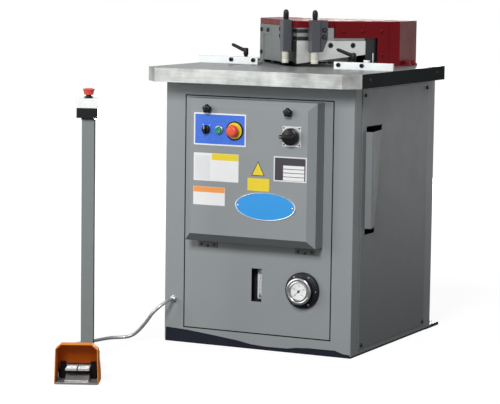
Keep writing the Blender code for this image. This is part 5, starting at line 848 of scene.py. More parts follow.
class PRESS_OT_stage(PressStep, Operator):
    """Lay the pale floor and hang the soft studio lamps"""

    bl_idname = "press.stage"
    bl_label = "Stage"

    floor_reach, floor_drop = 30.0, 0.0002

    def make(self, sizes):
        self.floor()
        self.world()
        lamps = (
            ("key_lamp", (0.9, -5.5, 3.6), (0.0, 0.0, 0.5), 1.7, 255.0),
            ("fill_lamp", (-3.8, -4.4, 1.9), (0.0, 0.0, 0.5), 3.0, 110.0),
            ("side_lamp", (1.5, 0.5, 2.3), (0.3, 0.0, 0.8), 1.0, 7.0),
            ("top_lamp", (0.2, 0.2, 4.2), (0.0, 0.0, 0.9), 2.6, 36.0),
            ("rear_lamp", (-1.8, 5.2, 0.75), (0.0, 0.0, 0.6), 1.1, 110.0),
        )
        for name, place, target, size, watts in lamps:
            data = bpy.data.lights.new(name, "AREA")
            data.shape = "SQUARE"
            data.size = size
            data.energy = watts
            lamp = added(name, data)
            lamp.location = place
            lamp.rotation_euler = (Vector(target) - Vector(place)).to_track_quat("-Z", "Y").to_euler()

    def floor(self):
        """A wide floor that looks white to the camera and keeps the shadow."""
        shape = bmesh.new()
        bmesh.ops.create_grid(shape, x_segments=1, y_segments=1, size=self.floor_reach)
        bmesh.ops.translate(shape, vec=(0, 0, -self.floor_drop), verts=shape.verts)
        made = added("studio_floor", as_mesh("studio_floor", shape))
        tree, shader = surface("Studio Floor", Roughness=0.9, Specular_IOR_Level=0.0)
        shade = spread(tree, noise(tree, object_place(tree), 3.0), 0.21, 0.23)
        tone = node(tree, "CombineColor", {"Red": shade, "Green": shade, "Blue": shade}).outputs[0]
        feed(tree, shader.inputs["Base Color"], tone)
        shader.inputs["Emission Color"].default_value = (1, 1, 1, 1)
        reach = node(tree, "VectorMath", {"Vector": object_place(tree)}, operation="LENGTH").outputs["Value"]
        path = node(tree, "LightPath").outputs
        direct = maths(tree, "MAXIMUM", path["Is Camera Ray"], path["Is Transmission Ray"])
        bright = maths(tree, "MULTIPLY", direct, ranged(tree, reach, 1.2, 2.6, 0.86, 1.0))
        mirror = maths(tree, "MULTIPLY", path["Is Glossy Ray"], ranged(tree, reach, 1.0, 6.0, 0.05, 0.9))
        feed(tree, shader.inputs["Emission Strength"], maths(tree, "ADD", bright, mirror))
        made.data.materials.append(bpy.data.materials["Studio Floor"])

    def world(self):
        """A white surround for camera, glossy and transmitted rays, and a softer one for light."""
        world = bpy.data.worlds.new("studio")
        world.use_nodes = True
        tree = world.node_tree
        back = tree.nodes["Background"]
        back.inputs["Color"].default_value = (1, 1, 1, 1)
        path = node(tree, "LightPath").outputs
        most = maths(tree, "MAXIMUM", path["Is Camera Ray"], path["Is Glossy Ray"])
        shown = maths(tree, "MAXIMUM", most, path["Is Transmission Ray"])
        feed(tree, back.inputs["Strength"], ranged(tree, shown, 0.0, 1.0, 0.12, 1.0))
        bpy.context.scene.world = world


class PRESS_OT_cable(PressStep, Operator):
    """Lay the grey cable from the cabinet to the foot station, with its gland on the cabinet"""

    bl_idname = "press.cable"
    bl_label = "Cable"

    def make(self, sizes):
        curve = bpy.data.curves.new("foot_cable_jacket", "CURVE")
        curve.dimensions = "3D"
        curve.bevel_depth = CABLE_RADIUS
        curve.bevel_resolution = 6
        curve.use_fill_caps = True
        points = self.smooth_route()
        spline = curve.splines.new("POLY")
        spline.points.add(len(points) - 1)
        for target, point in zip(spline.points, points):
            target.co = (*point, 1)
        curve.materials.append(bpy.data.materials["Cable Jacket"])
        cable = added("foot_cable_jacket", curve)
        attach(cable, "machine")
        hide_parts("foot_cable")
        self.front_gland()

    def smooth_route(self):
        """Points read close together from a smooth curve through the route."""
        route = [Vector(point) for point in CABLE_ROUTE]
        route.insert(0, route[0] * 2 - route[1])
        route.append(route[-1] * 2 - route[-2])
        made = []
        for before, start, end, after in zip(route, route[1:], route[2:], route[3:]):
            steps = max(1, round((end - start).length / CABLE_POINT_SPACING))
            for step in range(steps):
                share = step / steps
                made.append(0.5 * (
                    start * 2 + (end - before) * share
                    + (before * 2 - start * 5 + end * 4 - after) * share ** 2
                    + (start * 3 - before - end * 3 + after) * share ** 3
                ))
        made.append(route[-2])
        return made

    def front_gland(self):
        """The plated gland on the cabinet: a lock nut, a hexagon body and a domed sealing nut."""
        centre, half = middle("cable_gland_front"), half_size("cable_gland_front")
        radius, reach = half.x, half.y * 2
        where = placed((centre.x, centre.y + half.y, centre.z), FORWARD)
        flange = lathe((
            (0, 0), (radius, 0), (radius, reach * 0.16), (radius * 0.9, reach * 0.2), (0, reach * 0.2),
        ), where)
        body = stacked((
            (6, radius * 0.98, reach * 0.2), (6, radius * 0.98, reach * 0.45),
            (24, radius * 0.86, reach * 0.5),
        ), where)
        dome = lobed((
            (radius * 0.86, reach * 0.5), (radius * 0.9, reach * 0.55), (radius * 0.9, reach * 0.8),
            (radius * 0.78, reach * 0.93), (radius * 0.62, reach), (radius * 0.54, reach),
            (radius * 0.54, reach * 0.9),
        ), where, 12, 0.02)
        dress("cable_gland_front", ["Gland Plating"], 0.0003, merged(flange, body, dome))


class PRESS_OT_cabinet(PressStep, Operator):
    """Fold the cabinet, its base and its front cover"""

    bl_idname = "press.cabinet"
    bl_label = "Cabinet"

    def make(self, sizes):
        dress("base_frame", ["Base Paint"], sizes.sheet_edge)
        low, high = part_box("cabinet_frame")

        def upright_corner(spot):
            """The spot is on one of the four upright corners."""
            return all(
                min(abs(spot[axis] - low[axis]), abs(spot[axis] - high[axis])) < 1e-4 for axis in (0, 1)
            )

        shape = rounded(trimmed("cabinet_frame"), upright_corner, sizes.cabinet_corner, 5)
        dress("cabinet_frame", ["Cabinet Paint"], sizes.sheet_edge, shape)
        dress("front_cover", ["Cabinet Paint"], sizes.sheet_edge)
        self.gasket()

    def gasket(self):
        """A thin black gasket in the seam round the front cover."""
        low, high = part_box("front_cover")
        near, far, lap, reach = low.y - GAP, low.y + 0.0012, 0.0016, 0.0022
        strips = []
        for side, x, z in ((-1, low.x, low.z), (1, high.x, high.z)):
            left, right = sorted((x + side * reach, x - side * lap))
            bottom, top = sorted((z + side * reach, z - side * lap))
            strips.append(slab((low.x - reach, near, bottom), (high.x + reach, far, top)))
            strips.append(slab((left, near, low.z), (right, far, high.z)))
        add_on("cover_gasket", merged(*strips), ["Black Rubber And Painted Shade"], "front_cover")


class PRESS_OT_panels(PressStep, Operator):
    """Press the side panels with their air ridges, and the louvred rear panel"""

    bl_idname = "press.panels"
    bl_label = "Panels"

    rear_sheet, side_sheet = 0.002, 0.0017
    rear_inset = 0.017

    def make(self, sizes):
        for side in MIRROR:
            self.side_panel(sizes, side)
        low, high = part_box("rear_panel")
        dress("rear_panel", ["Cabinet Paint"], sizes.sheet_edge)
        inset = self.rear_inset
        self.screws("rear_panel", sizes, [
            placed((x, low.y + self.rear_sheet, z), (0, 1, 0))
            for x in (low.x + inset, high.x - inset) for z in (low.z + inset, high.z - inset)
        ])

    def side_panel(self, sizes, side):
        """A side panel with a rounded ridge and its screws."""
        name = "side_panel_" + SIDE_NAMES[side]
        low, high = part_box(name)
        inside, peak = sorted((abs(low.x), abs(high.x)))
        face = inside + self.side_sheet

        def ridge_top(spot):
            """The spot is on the top of the ridge."""
            return abs(abs(spot.x) - peak) < 1e-4

        shape = rounded(trimmed(name), ridge_top, sizes.ridge_corner, 5)
        # The side panels take the side paint with its painted shade
        dress(name, ["Cabinet Side Shade Paint"], sizes.sheet_edge, shape)
        self.screws(name, sizes, [
            placed((side * face, y, z), (side, 0, 0))
            for y in (low.y + 0.020, high.y - 0.0095) for z in (low.z + 0.011, high.z - 0.017)
        ])

    def screws(self, name, sizes, places):
        """The low domed screws of a panel."""
        radius, height = sizes.panel_screw_radius, sizes.panel_screw_height
        fasteners(name + "_screws", button_screw, places, radius, height, name)


class PRESS_OT_table(PressStep, Operator):
    """Grind the thick table and mill its edges"""

    bl_idname = "press.table"
    bl_label = "Table"

    def make(self, sizes):
        def edge(face):
            """The face is on the table's edge."""
            return abs(face.normal.z) < 0.5

        shape = tint(trimmed("table"), 1, edge)
        # The right and rear edges take a dark finish: painted shade
        tint(shape, 2, lambda face: edge(face) and (face.normal.x > 0.9 or face.normal.y > 0.5))
        dress("table", ["Table Top Steel", "Table Edge Steel", "Steel Side Painted Shade"], sizes.steel_edge, shape)


class PRESS_OT_head(PressStep, Operator):
    """Build the red head with its cheek plate, guard plate, guides and screws"""

    bl_idname = "press.head"
    bl_label = "Head"

    cheek_screws = ((0.160, 1.015), (0.229, 1.015), (0.298, 1.015), (0.300, 0.936))
    guard_bolts = ((0.332, 1.011), (0.267, 1.011), (0.332, 0.934))
    foot_bolt_x = 0.2707
    foot_bolt_ys = (0.240, 0.290)
    foot_thickness = 0.0063
    inner_reach, inner_foot = 0.005, 0.010

    def make(self, sizes):
        heart_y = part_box("head_housing")[1].y * 0.6

        def inner(face):
            """The face is inside the walls."""
            spot = face.calc_center_median()
            facing = face.normal.dot(Vector((0, heart_y, spot.z)) - spot)
            above = spot.z > TABLE_TOP + self.inner_foot
            return abs(face.normal.z) < 0.5 and facing > self.inner_reach and above

        # The faces inside the head's walls are black: painted shade
        shape = tint(trimmed("head_housing"), 1, inner)
        dress("head_housing", ["Housing Paint", "Black Rubber And Painted Shade"], sizes.steel_edge, shape)
        dress("cheek_plate_right", ["Housing Paint"], sizes.steel_edge)
        dress("guard_plate_left", ["Guard Paint"], sizes.steel_edge)
        radius = sizes.guard_screw_radius
        cheek = [out_of_arm(1, along, HEAD_FACE_DEPTH, height) for along, height in self.cheek_screws]
        fasteners(
            "cheek_plate_screws", button_screw, cheek, radius, 0.0045, "cheek_plate_right", "Housing Paint",
        )
        guard = [out_of_arm(-1, along, HEAD_FACE_DEPTH, height) for along, height in self.guard_bolts]
        fasteners("guard_plate_screws", socket_screw, guard, radius, 0.0048, "guard_plate_left")
        feet = [
            placed((side * self.foot_bolt_x, y, TABLE_TOP + self.foot_thickness))
            for side in MIRROR for y in self.foot_bolt_ys
        ]
        fasteners("head_foot_bolts", hexagon_bolt, feet, 0.0094, 0.0112, "head_housing", "Housing Paint")
        for side in MIRROR:
            dress("ram_guide_" + SIDE_NAMES[side], ["Guide Steel"], sizes.steel_edge)


class PRESS_OT_blades(PressStep, Operator):
    """Grind the upper and lower blades and set their screws"""

    bl_idname = "press.blades"
    bl_label = "Blades"

    bolt_places = (0.1195, 0.199)
    bolt_height = 0.9688
    bolt_depth = -0.0105

    def make(self, sizes):
        for side, word in SIDE_NAMES.items():
            look = "Blade Steel" if side > 0 else "Shaded Steel"
            dress("upper_blade_" + word, [look], sizes.blade_edge)
            dress("lower_blade_" + word, ["Shadow Steel"], sizes.blade_edge)
            places = [
                out_of_arm(side, along, self.bolt_depth, self.bolt_height) for along in self.bolt_places
            ]
            fasteners("blade_screws_" + word, socket_screw, places, 0.0094, 0.0096, "ram")


class PRESS_OT_ram(PressStep, Operator):
    """Finish the ram with its nose and column"""

    bl_idname = "press.ram"
    bl_label = "Ram"

    band_heights = ((0.9856, 0.9980), (1.0100, 1.0225))

    def make(self, sizes):
        dress("ram", ["Ram Steel"], sizes.steel_edge)
        bands = [
            slab((0.0010, -0.0040, bottom), (0.0395, -0.0006, top), on_arm(side))
            for side in MIRROR for bottom, top in self.band_heights
        ]
        add_on("ram_nose_bands", merged(*bands), ["Guide Steel"], "ram")


class PRESS_OT_hold_downs(PressStep, Operator):
    """Shape the hold-down blocks, their nylon pads and knurled adjusters"""

    bl_idname = "press.hold_downs"
    bl_label = "Hold-downs"

    bolt_place = 0.087
    bolt_heights = (1.0206, 0.9975)
    block_depth = 0.0245
    adjuster_head = 0.033

    def make(self, sizes):
        for side, word in SIDE_NAMES.items():
            block = "hold_down_block_" + word
            dress(block, ["Block Paint"], sizes.block_edge, segments=3)
            places = [
                out_of_arm(side, self.bolt_place, self.block_depth, height) for height in self.bolt_heights
            ]
            fasteners("hold_down_screws_" + word, socket_screw, places, 0.0074, 0.0048, block)
            self.pad("hold_down_pad_" + word)
            self.adjuster("hold_down_adjuster_" + word)

    def pad(self, name):
        """A nylon plunger with a chamfered foot and a shallow turned groove."""
        low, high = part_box(name)
        radius = (high.x - low.x) / 2
        tall = high.z - low.z
        where = placed((middle(name).x, middle(name).y, low.z))
        dress(name, ["Pad Nylon"], 0.0, lathe((
            (0, 0), (radius * 0.88, 0), (radius * 0.97, 0.0006), (radius, 0.0018), (radius, tall * 0.30),
            (radius * 0.965, tall * 0.32), (radius * 0.965, tall * 0.36), (radius, tall * 0.38),
            (radius, tall), (0, tall),
        ), where, 56))

    def adjuster(self, name):
        """A black screw head with a finely knurled barrel and a round top."""
        low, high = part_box(name)
        radius = (high.x - low.x) * 0.55
        seat = high.z - self.adjuster_head
        foot = low.z - seat
        where = placed((middle(name).x, middle(name).y, seat))
        neck = lathe((
            (0, foot), (radius * 0.45, foot), (radius * 0.45, 0.0), (radius * 0.86, 0.0),
            (radius * 0.90, 0.0010), (radius * 0.90, 0.0060), (0, 0.0060),
        ), where)
        barrel = lobed((
            (radius * 0.90, 0.0055), (radius * 0.97, 0.0066), (radius * 0.97, 0.0215),
            (radius * 0.92, 0.0245),
        ), where, 26, 0.02, 156)
        dome = lathe((
            (0, 0.0240), (radius * 0.92, 0.0240), (radius * 0.86, 0.0270), (radius * 0.72, 0.0298),
            (radius * 0.50, 0.0318), (radius * 0.25, 0.0328), (0, 0.0330),
        ), where)
        dress(name, ["Black Plastic"], 0.0, merged(neck, barrel, dome))


class PRESS_OT_fences(PressStep, Operator):
    """Grind the angle fences and fit their screws, studs and levers"""

    bl_idname = "press.fences"
    bl_label = "Fences"

    screw_places = (0.016, 0.098)
    screw_height = 0.0143
    ledge_height, stem_height = 0.015, 0.030
    end_slant, end_depth = 0.014, 0.020
    lever_turns = {"right": math.radians(180), "left": math.radians(168)}
    hub_top = 0.953
    handle_root = 0.944
    handle_reach = 0.0558
    handle = (
        (0.06, 0.0010, 0.0068), (0.16, 0.0022, 0.0068), (0.30, 0.0045, 0.0064), (0.44, 0.0072, 0.0061),
        (0.58, 0.0100, 0.0059), (0.72, 0.0127, 0.0058), (0.84, 0.0150, 0.0058), (0.94, 0.0169, 0.0057),
        (1.0, 0.0180, 0.0054), (1.05, 0.0189, 0.0042), (1.08, 0.0194, 0.0024), (1.09, 0.0196, 0.0008),
    )

    def make(self, sizes):
        for side, word in SIDE_NAMES.items():
            name = "fence_" + word
            low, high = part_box(name)
            near, far = (low.x, high.x) if side > 0 else (high.x, low.x)
            shape = trimmed(name)
            for vert in shape.verts:
                if abs(vert.co.x - far) < 0.001 and vert.co.y > low.y + self.end_depth:
                    vert.co.x -= side * self.end_slant
            # The left fence takes a darker steel as painted shade; the fence tops take the dark side finish
            # as painted shade
            looks = ["Fence Steel" if side > 0 else "Left Fence Steel With Painted Shade", "Stud Steel", "Steel Side Painted Shade"]
            dress(name, looks, sizes.steel_edge * 0.6, tint(tint(shape, 1, self.on_stem), 2, self.on_ledge))
            places = [
                placed((near + side * place, low.y, TABLE_TOP + self.screw_height), FORWARD)
                for place in self.screw_places
            ]
            radius = sizes.fence_screw_radius
            fasteners("fence_screws_" + word, socket_screw, places, radius, 0.0054, name)
            dress("fence_stud_" + word, ["Stud Steel"], 0.0003)
            self.lever(word)

    def on_stem(self, face):
        """The face is on the round stem above the fence."""
        return height_of(face) > TABLE_TOP + self.stem_height

    def on_ledge(self, face):
        """The face looks up from the fence itself, and gets painted shade."""
        return face.normal.z > 0.9 and self.ledge_height < height_of(face) - TABLE_TOP < self.stem_height

    def lever(self, word):
        """A clamping lever: a hub with a cap screw, and a bent handle that thickens to a round end."""
        name = "clamp_lever_" + word
        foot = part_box(name)[0].z
        tall = self.hub_top - foot
        hub = middle("fence_stud_" + word)
        turn = self.lever_turns[word]
        body = lathe((
            (0.0052, 0), (0.0074, 0), (0.0082, 0.0014), (0.0082, 0.012), (0.0066, 0.015), (0.0066, 0.020),
            (0.0085, 0.0235), (0.0085, tall - 0.0030), (0.0070, tall - 0.0006), (0.0052, tall - 0.0006),
            (0.0052, 0.0),
        ), placed((hub.x, hub.y, foot)))
        cap = button_screw(placed((hub.x, hub.y, self.hub_top - 0.0008)), 0.0050, 0.0016)
        way = Vector((math.cos(turn), math.sin(turn), 0)) * self.handle_reach
        root = Vector((hub.x, hub.y, self.handle_root))
        shares, lifts, radii = zip(*self.handle)
        path = [root + way * share + Vector((0, 0, lift)) for share, lift in zip(shares, lifts)]
        grip = swept(path, radii)
        dress(name, ["Lever Plastic"], 0.0, merged(body, cap, grip))


class PRESS_OT_door(PressStep, Operator):
    """Fold the door of the control box, with its hinges and knobs"""

    bl_idname = "press.door"
    bl_label = "Door"

    fold_depth = 0.030
    fold_height = 0.3430
    hinge_screws = ((-0.0233, 0.329), (0.0, 0.325), (0.0233, 0.329))
    leaf_thickness = 0.0015
    knob_height = 0.775

    def make(self, sizes):
        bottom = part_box("door_shell")[0].z

        def folded(spot):
            """The spot is on the folds round the door's face."""
            return spot.y < DOOR_FACE + self.fold_depth and spot.z > self.fold_height

        shape = rounded(trimmed("door_shell"), folded, sizes.door_corner, 3)
        # The downward-facing folds at the door's foot get painted shade
        tint(shape, 1, lambda face: face.normal.z < -0.3 and height_of(face) < bottom + 0.05)
        dress("door_shell", ["Cabinet Paint", "Door Fold Painted Shade"], sizes.sheet_edge * 0.6, shape)
        for word in ("left", "right"):
            self.hinge("door_hinge_" + word)
            self.knob("door_knob_" + word)

    def hinge(self, name):
        """The fixed leaf with its pin, and three low screws."""
        dress(name, ["Hinge Paint"], 0.0002)
        centre = middle(name).x
        places = [
            placed((centre + across, CABINET_FACE - self.leaf_thickness, height), FORWARD)
            for across, height in self.hinge_screws
        ]
        fasteners(name + "_screws", button_screw, places, 0.0043, 0.0023, name)

    def knob(self, name):
        """A black knob with five round lobes and a dimpled top, on its long screw."""
        where = placed((middle(name).x, DOOR_FACE - GAP, self.knob_height), FORWARD, math.radians(18))
        grip = lobed((
            (0.0108, 0.0068), (0.0128, 0.0078), (0.0137, 0.0098), (0.0138, 0.0150), (0.0132, 0.0182),
            (0.0116, 0.0204), (0.0088, 0.0216), (0.0050, 0.0220), (0.0020, 0.0220),
        ), where, 5, 0.09, 100)
        neck = lathe((
            (0, -0.0006), (0.0072, -0.0006), (0.0076, 0.0004), (0.0070, 0.0078), (0, 0.0078),
        ), where)
        stem = lathe(((0, -0.075), (0.0036, -0.075), (0.004, -0.0742), (0.004, 0.0), (0, 0.0)), where, 20)
        dress(name, ["Black Plastic", "Stud Steel"], 0.0, merged(grip, neck, tint(stem, 1)))


class PRESS_OT_labels(PressStep, Operator):
    """Stick the bare printed labels on the door"""

    bl_idname = "press.labels"
    bl_label = "Labels"

    film_sink = 0.0001

    def make(self, sizes):
        self.film = sizes.film_thickness
        self.label("pale_label", -0.113, 0.5887, 0.160, 0.089, (
            (0.0315, 0.0335, 0.095, 0.0205, 2), (-0.0480, -0.002, 0.054, 0.078, 1),
        ))
        self.label("band_label", -0.137, 0.496, 0.113, 0.059, ((0.0, 0.0203, 0.111, 0.0175, 3),))
        self.label("yellow_label", 0.0376, 0.542, 0.076, 0.040, (), 2)
        rows = [(0.0125, 0.0068 - row * 0.0122, 0.073, 0.0102, 0) for row in range(4)]
        data = ((0.0, 0.0, 0.106, 0.071, 4), *rows)
        self.label("data_plate", 0.1474, 0.596, 0.114, 0.079, data, 1, 2)
        self.triangle()

    def label(self, name, x, z, width, height, areas, ground=0, lift=1):
        """A film with printed areas: their centre, width, height and finish."""
        where = on_front(x, DOOR_FACE - self.film_sink, z)
        base = slab((-width / 2, -height / 2, 0), (width / 2, height / 2, self.film), where, 0.0015)
        shapes = [tint(base, ground)]
        for number, (across, up, wide, tall, look) in enumerate(areas):
            bottom, top = self.film * 0.5, self.film * (1.3 + 0.15 * min(number, 1) * lift)
            area = slab(
                (across - wide / 2, up - tall / 2, bottom), (across + wide / 2, up + tall / 2, top), where
            )
            shapes.append(tint(area, look))
        looks = ["White Print", "Pale Print", "Yellow Print", "Orange Print", "Dark Print"]
        piece("door_" + name, merged(*shapes), looks, "door")

    def triangle(self):
        """A bare yellow triangle with a dark border."""
        where = on_front(0.0355, DOOR_FACE - self.film_sink, 0.5700)

        def corners(inset):
            """The corners of the triangle, drawn in by the border."""
            half = 0.0235 - inset * 1.73
            return ((-half, inset), (half, inset), (0.0, 0.0467 - inset * 2.2))

        border = tint(outline(corners(0.0), 0.0, self.film, where), 0)
        inside = tint(outline(corners(0.0022), self.film * 0.5, self.film * 1.3, where), 1)
        looks = ["Dark Print", "Yellow Print"]
        piece("door_triangle", merged(border, inside), looks, "door")


class PRESS_OT_controls(PressStep, Operator):
    """Fit the control plate, its buttons and the main switch"""

    bl_idname = "press.controls"
    bl_label = "Controls"

    start_x, stop_x, selector_x = -0.102, -0.0475, -0.148
    row_z = 0.7085
    border = 0.0047
    switch_screws = (0.0265, -0.0265)

    def make(self, sizes):
        self.plate()
        self.selector()
        self.start_button()
        self.stop_button()
        self.main_switch()

    def in_row(self, x, lift=0.0):
        """The frame of a control in the row, off the face of the plate."""
        return placed((x, PLATE_FACE - lift, self.row_z), FORWARD)

    def plate(self):
        """White film with a blue field, the button collars and the yellow ring."""
        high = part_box("control_plate")[1]
        centre, half = middle("control_plate"), half_size("control_plate")
        where = on_front(centre.x, high.y, centre.z)
        base = high.y - PLATE_FACE
        inner = half - Vector((self.border, 0, self.border))
        white = slab((-half.x, -half.z, 0), (half.x, half.z, base * 0.8), where, 0.0015)
        blue = slab((-inner.x, -inner.z, base * 0.5), (inner.x, inner.z, base), where)
        collar = lathe((
            (0.0112, -GAP), (0.0145, -GAP), (0.0145, 0.0030), (0.0138, 0.0052), (0.0120, 0.0060),
            (0.0112, 0.0060), (0.0112, -GAP),
        ), self.in_row(self.start_x))
        rim, ring_face = (
            lathe(((0.0, start), (radius, start), (radius, end), (0.0, end)), self.in_row(self.stop_x), 64)
            for radius, start, end in ((0.0300, -GAP, 0.0026), (0.0262, 0.0010, 0.0030))
        )
        marks = []
        for turn in (math.radians(38), math.radians(-38)):
            beside = round_centre(on_front(self.selector_x, high.y, self.row_z), 0.0, turn)
            marks.append(slab((-0.0012, 0.0165, base * 0.5), (0.0012, 0.0200, base * 1.06), beside))
        shape = merged(white, tint(blue, 1), tint(collar, 2), tint(rim, 3), tint(ring_face, 4), *marks)
        looks = ["White Print", "Blue Print", "Collar Aluminium", "Black Rubber And Painted Shade", "Yellow Print"]
        dress("control_plate", looks, 0.0, shape)

    def selector(self):
        """A black selector with a long grip and a white mark."""
        where = on_front(self.selector_x, PLATE_FACE - GAP, self.row_z)
        body = lathe((
            (0, CONTROL_BACK), (0.0048, CONTROL_BACK), (0.0048, 0.0), (0.0138, 0.0), (0.0140, 0.0010),
            (0.0140, 0.0056), (0.0132, 0.0078), (0.0118, 0.0088), (0, 0.0088),
        ), where)
        grip = self.grip((-0.0035, -0.0124, 0.0060), (0.0035, 0.0124, 0.0180), where, 0.0030, 0.0006, 2)
        mark = slab((-0.0006, 0.0020, 0.0150), (0.0006, 0.0116, 0.01825), where)
        dress("selector_switch", ["Black Plastic", "White Print"], 0.0, merged(body, grip, tint(mark, 1)))

    def grip(self, low, high, where, corner, edge, segments):
        """A straight grip with round ends and softened edges."""
        shape = slab(low, high, where, corner)
        sharp = [line for line in shape.edges if line.calc_face_angle(0) > 1.0]
        return bevelled(shape, sharp, edge, segments)

    def start_button(self):
        """A green button, dished on top."""
        dress("start_button", ["Green Plastic"], 0.0, lathe((
            (0, CONTROL_BACK), (0.0105, CONTROL_BACK), (0.0109, -0.0120), (0.0109, 0.0096), (0.0102, 0.0112),
            (0.0088, 0.0119), (0.0074, 0.0116), (0.0040, 0.0109), (0, 0.0107),
        ), self.in_row(self.start_x, GAP)))

    def stop_button(self):
        """A red mushroom head with a ribbed rim."""
        where = self.in_row(self.stop_x, GAP)
        stem = lathe((
            (0, CONTROL_BACK), (0.0104, CONTROL_BACK), (0.0108, -0.0130), (0.0108, 0.0125), (0, 0.0125),
        ), where)
        head = lobed((
            (0.0150, 0.0120), (0.0188, 0.0124), (0.0195, 0.0140), (0.0197, 0.0190), (0.0190, 0.0222),
        ), where, 24, 0.012, 144)
        cap = lathe((
            (0, 0.0210), (0.0190, 0.0218), (0.0184, 0.0244), (0.0166, 0.0270), (0.0135, 0.0289),
            (0.0095, 0.0298), (0.0045, 0.0300), (0, 0.0300),
        ), where, 64)
        dress("emergency_button", ["Red Plastic"], 0.0, merged(stem, head, cap))

    def main_switch(self):
        """The silver plate with its corner screws, the round black base and the grip."""
        dress("main_switch_plate", ["Plate Aluminium"], 0.0004)
        centre = middle("main_switch_plate")
        places = [
            on_front(centre.x + across, PLATE_FACE, centre.z + up)
            for across in self.switch_screws for up in self.switch_screws
        ]
        fasteners("main_switch_plate_screws", button_screw, places, 0.0028, 0.0010, "main_switch_plate")
        where = on_front(centre.x, PLATE_FACE - GAP, centre.z)
        base = lathe((
            (0, CONTROL_BACK), (0.0048, CONTROL_BACK), (0.0048, 0.0), (0.0268, 0.0), (0.0276, 0.0012),
            (0.0276, 0.0142), (0.0266, 0.0176), (0.0240, 0.0194), (0, 0.0194),
        ), where, 72)
        grip = self.grip((-0.0318, -0.0062, 0.0090), (0.0214, 0.0062, 0.0298), where, 0.0050, 0.0022, 3)
        mark = slab((-0.0290, -0.0005, 0.0280), (-0.0230, 0.0005, 0.0299), where)
        dress("main_switch_handle", ["Black Plastic", "White Print"], 0.0, merged(base, grip, tint(mark, 1)))


class PRESS_OT_badge(PressStep, Operator):
    """Set the bare oval badge in its silver rim"""

    bl_idname = "press.badge"
    bl_label = "Badge"

    def make(self, sizes):
        centre, half = middle("oval_badge"), half_size("oval_badge")
        thick = half.y * 2
        where = on_front(centre.x, centre.y + half.y, centre.z)
        rim = self.oval(half, (
            (1.0, 0.0), (1.0, thick * 0.7), (0.992, thick * 0.95), (0.978, thick), (0.962, thick * 0.9),
            (0.955, thick * 0.62), (0.5, thick * 0.60),
        ), where)
        face = self.oval(half, (
            (0.957, thick * 0.4), (0.957, thick * 0.66), (0.6, thick * 0.76), (0.2, thick * 0.80),
        ), where)
        rivets = [
            lathe((
                (0, 0), (0.0024, 0), (0.0023, thick * 0.9), (0.0014, thick * 1.15), (0, thick * 1.2),
            ), where @ Matrix.Translation((side * half.x * 0.90, 0, 0)), 24)
            for side in MIRROR
        ]
        shape = merged(rim, tint(face, 1), *rivets)
        dress("oval_badge", ["Badge Steel", "Badge Enamel"], 0.0, shape)

    def oval(self, half, levels, where):
        """A flat oval from shares of its half widths, and heights."""
        shape = stacked([(96, share, height) for share, height in levels], Matrix.Identity(4))
        bmesh.ops.scale(shape, vec=(half.x, half.z, 1.0), verts=shape.verts)
        return moved(shape, where)


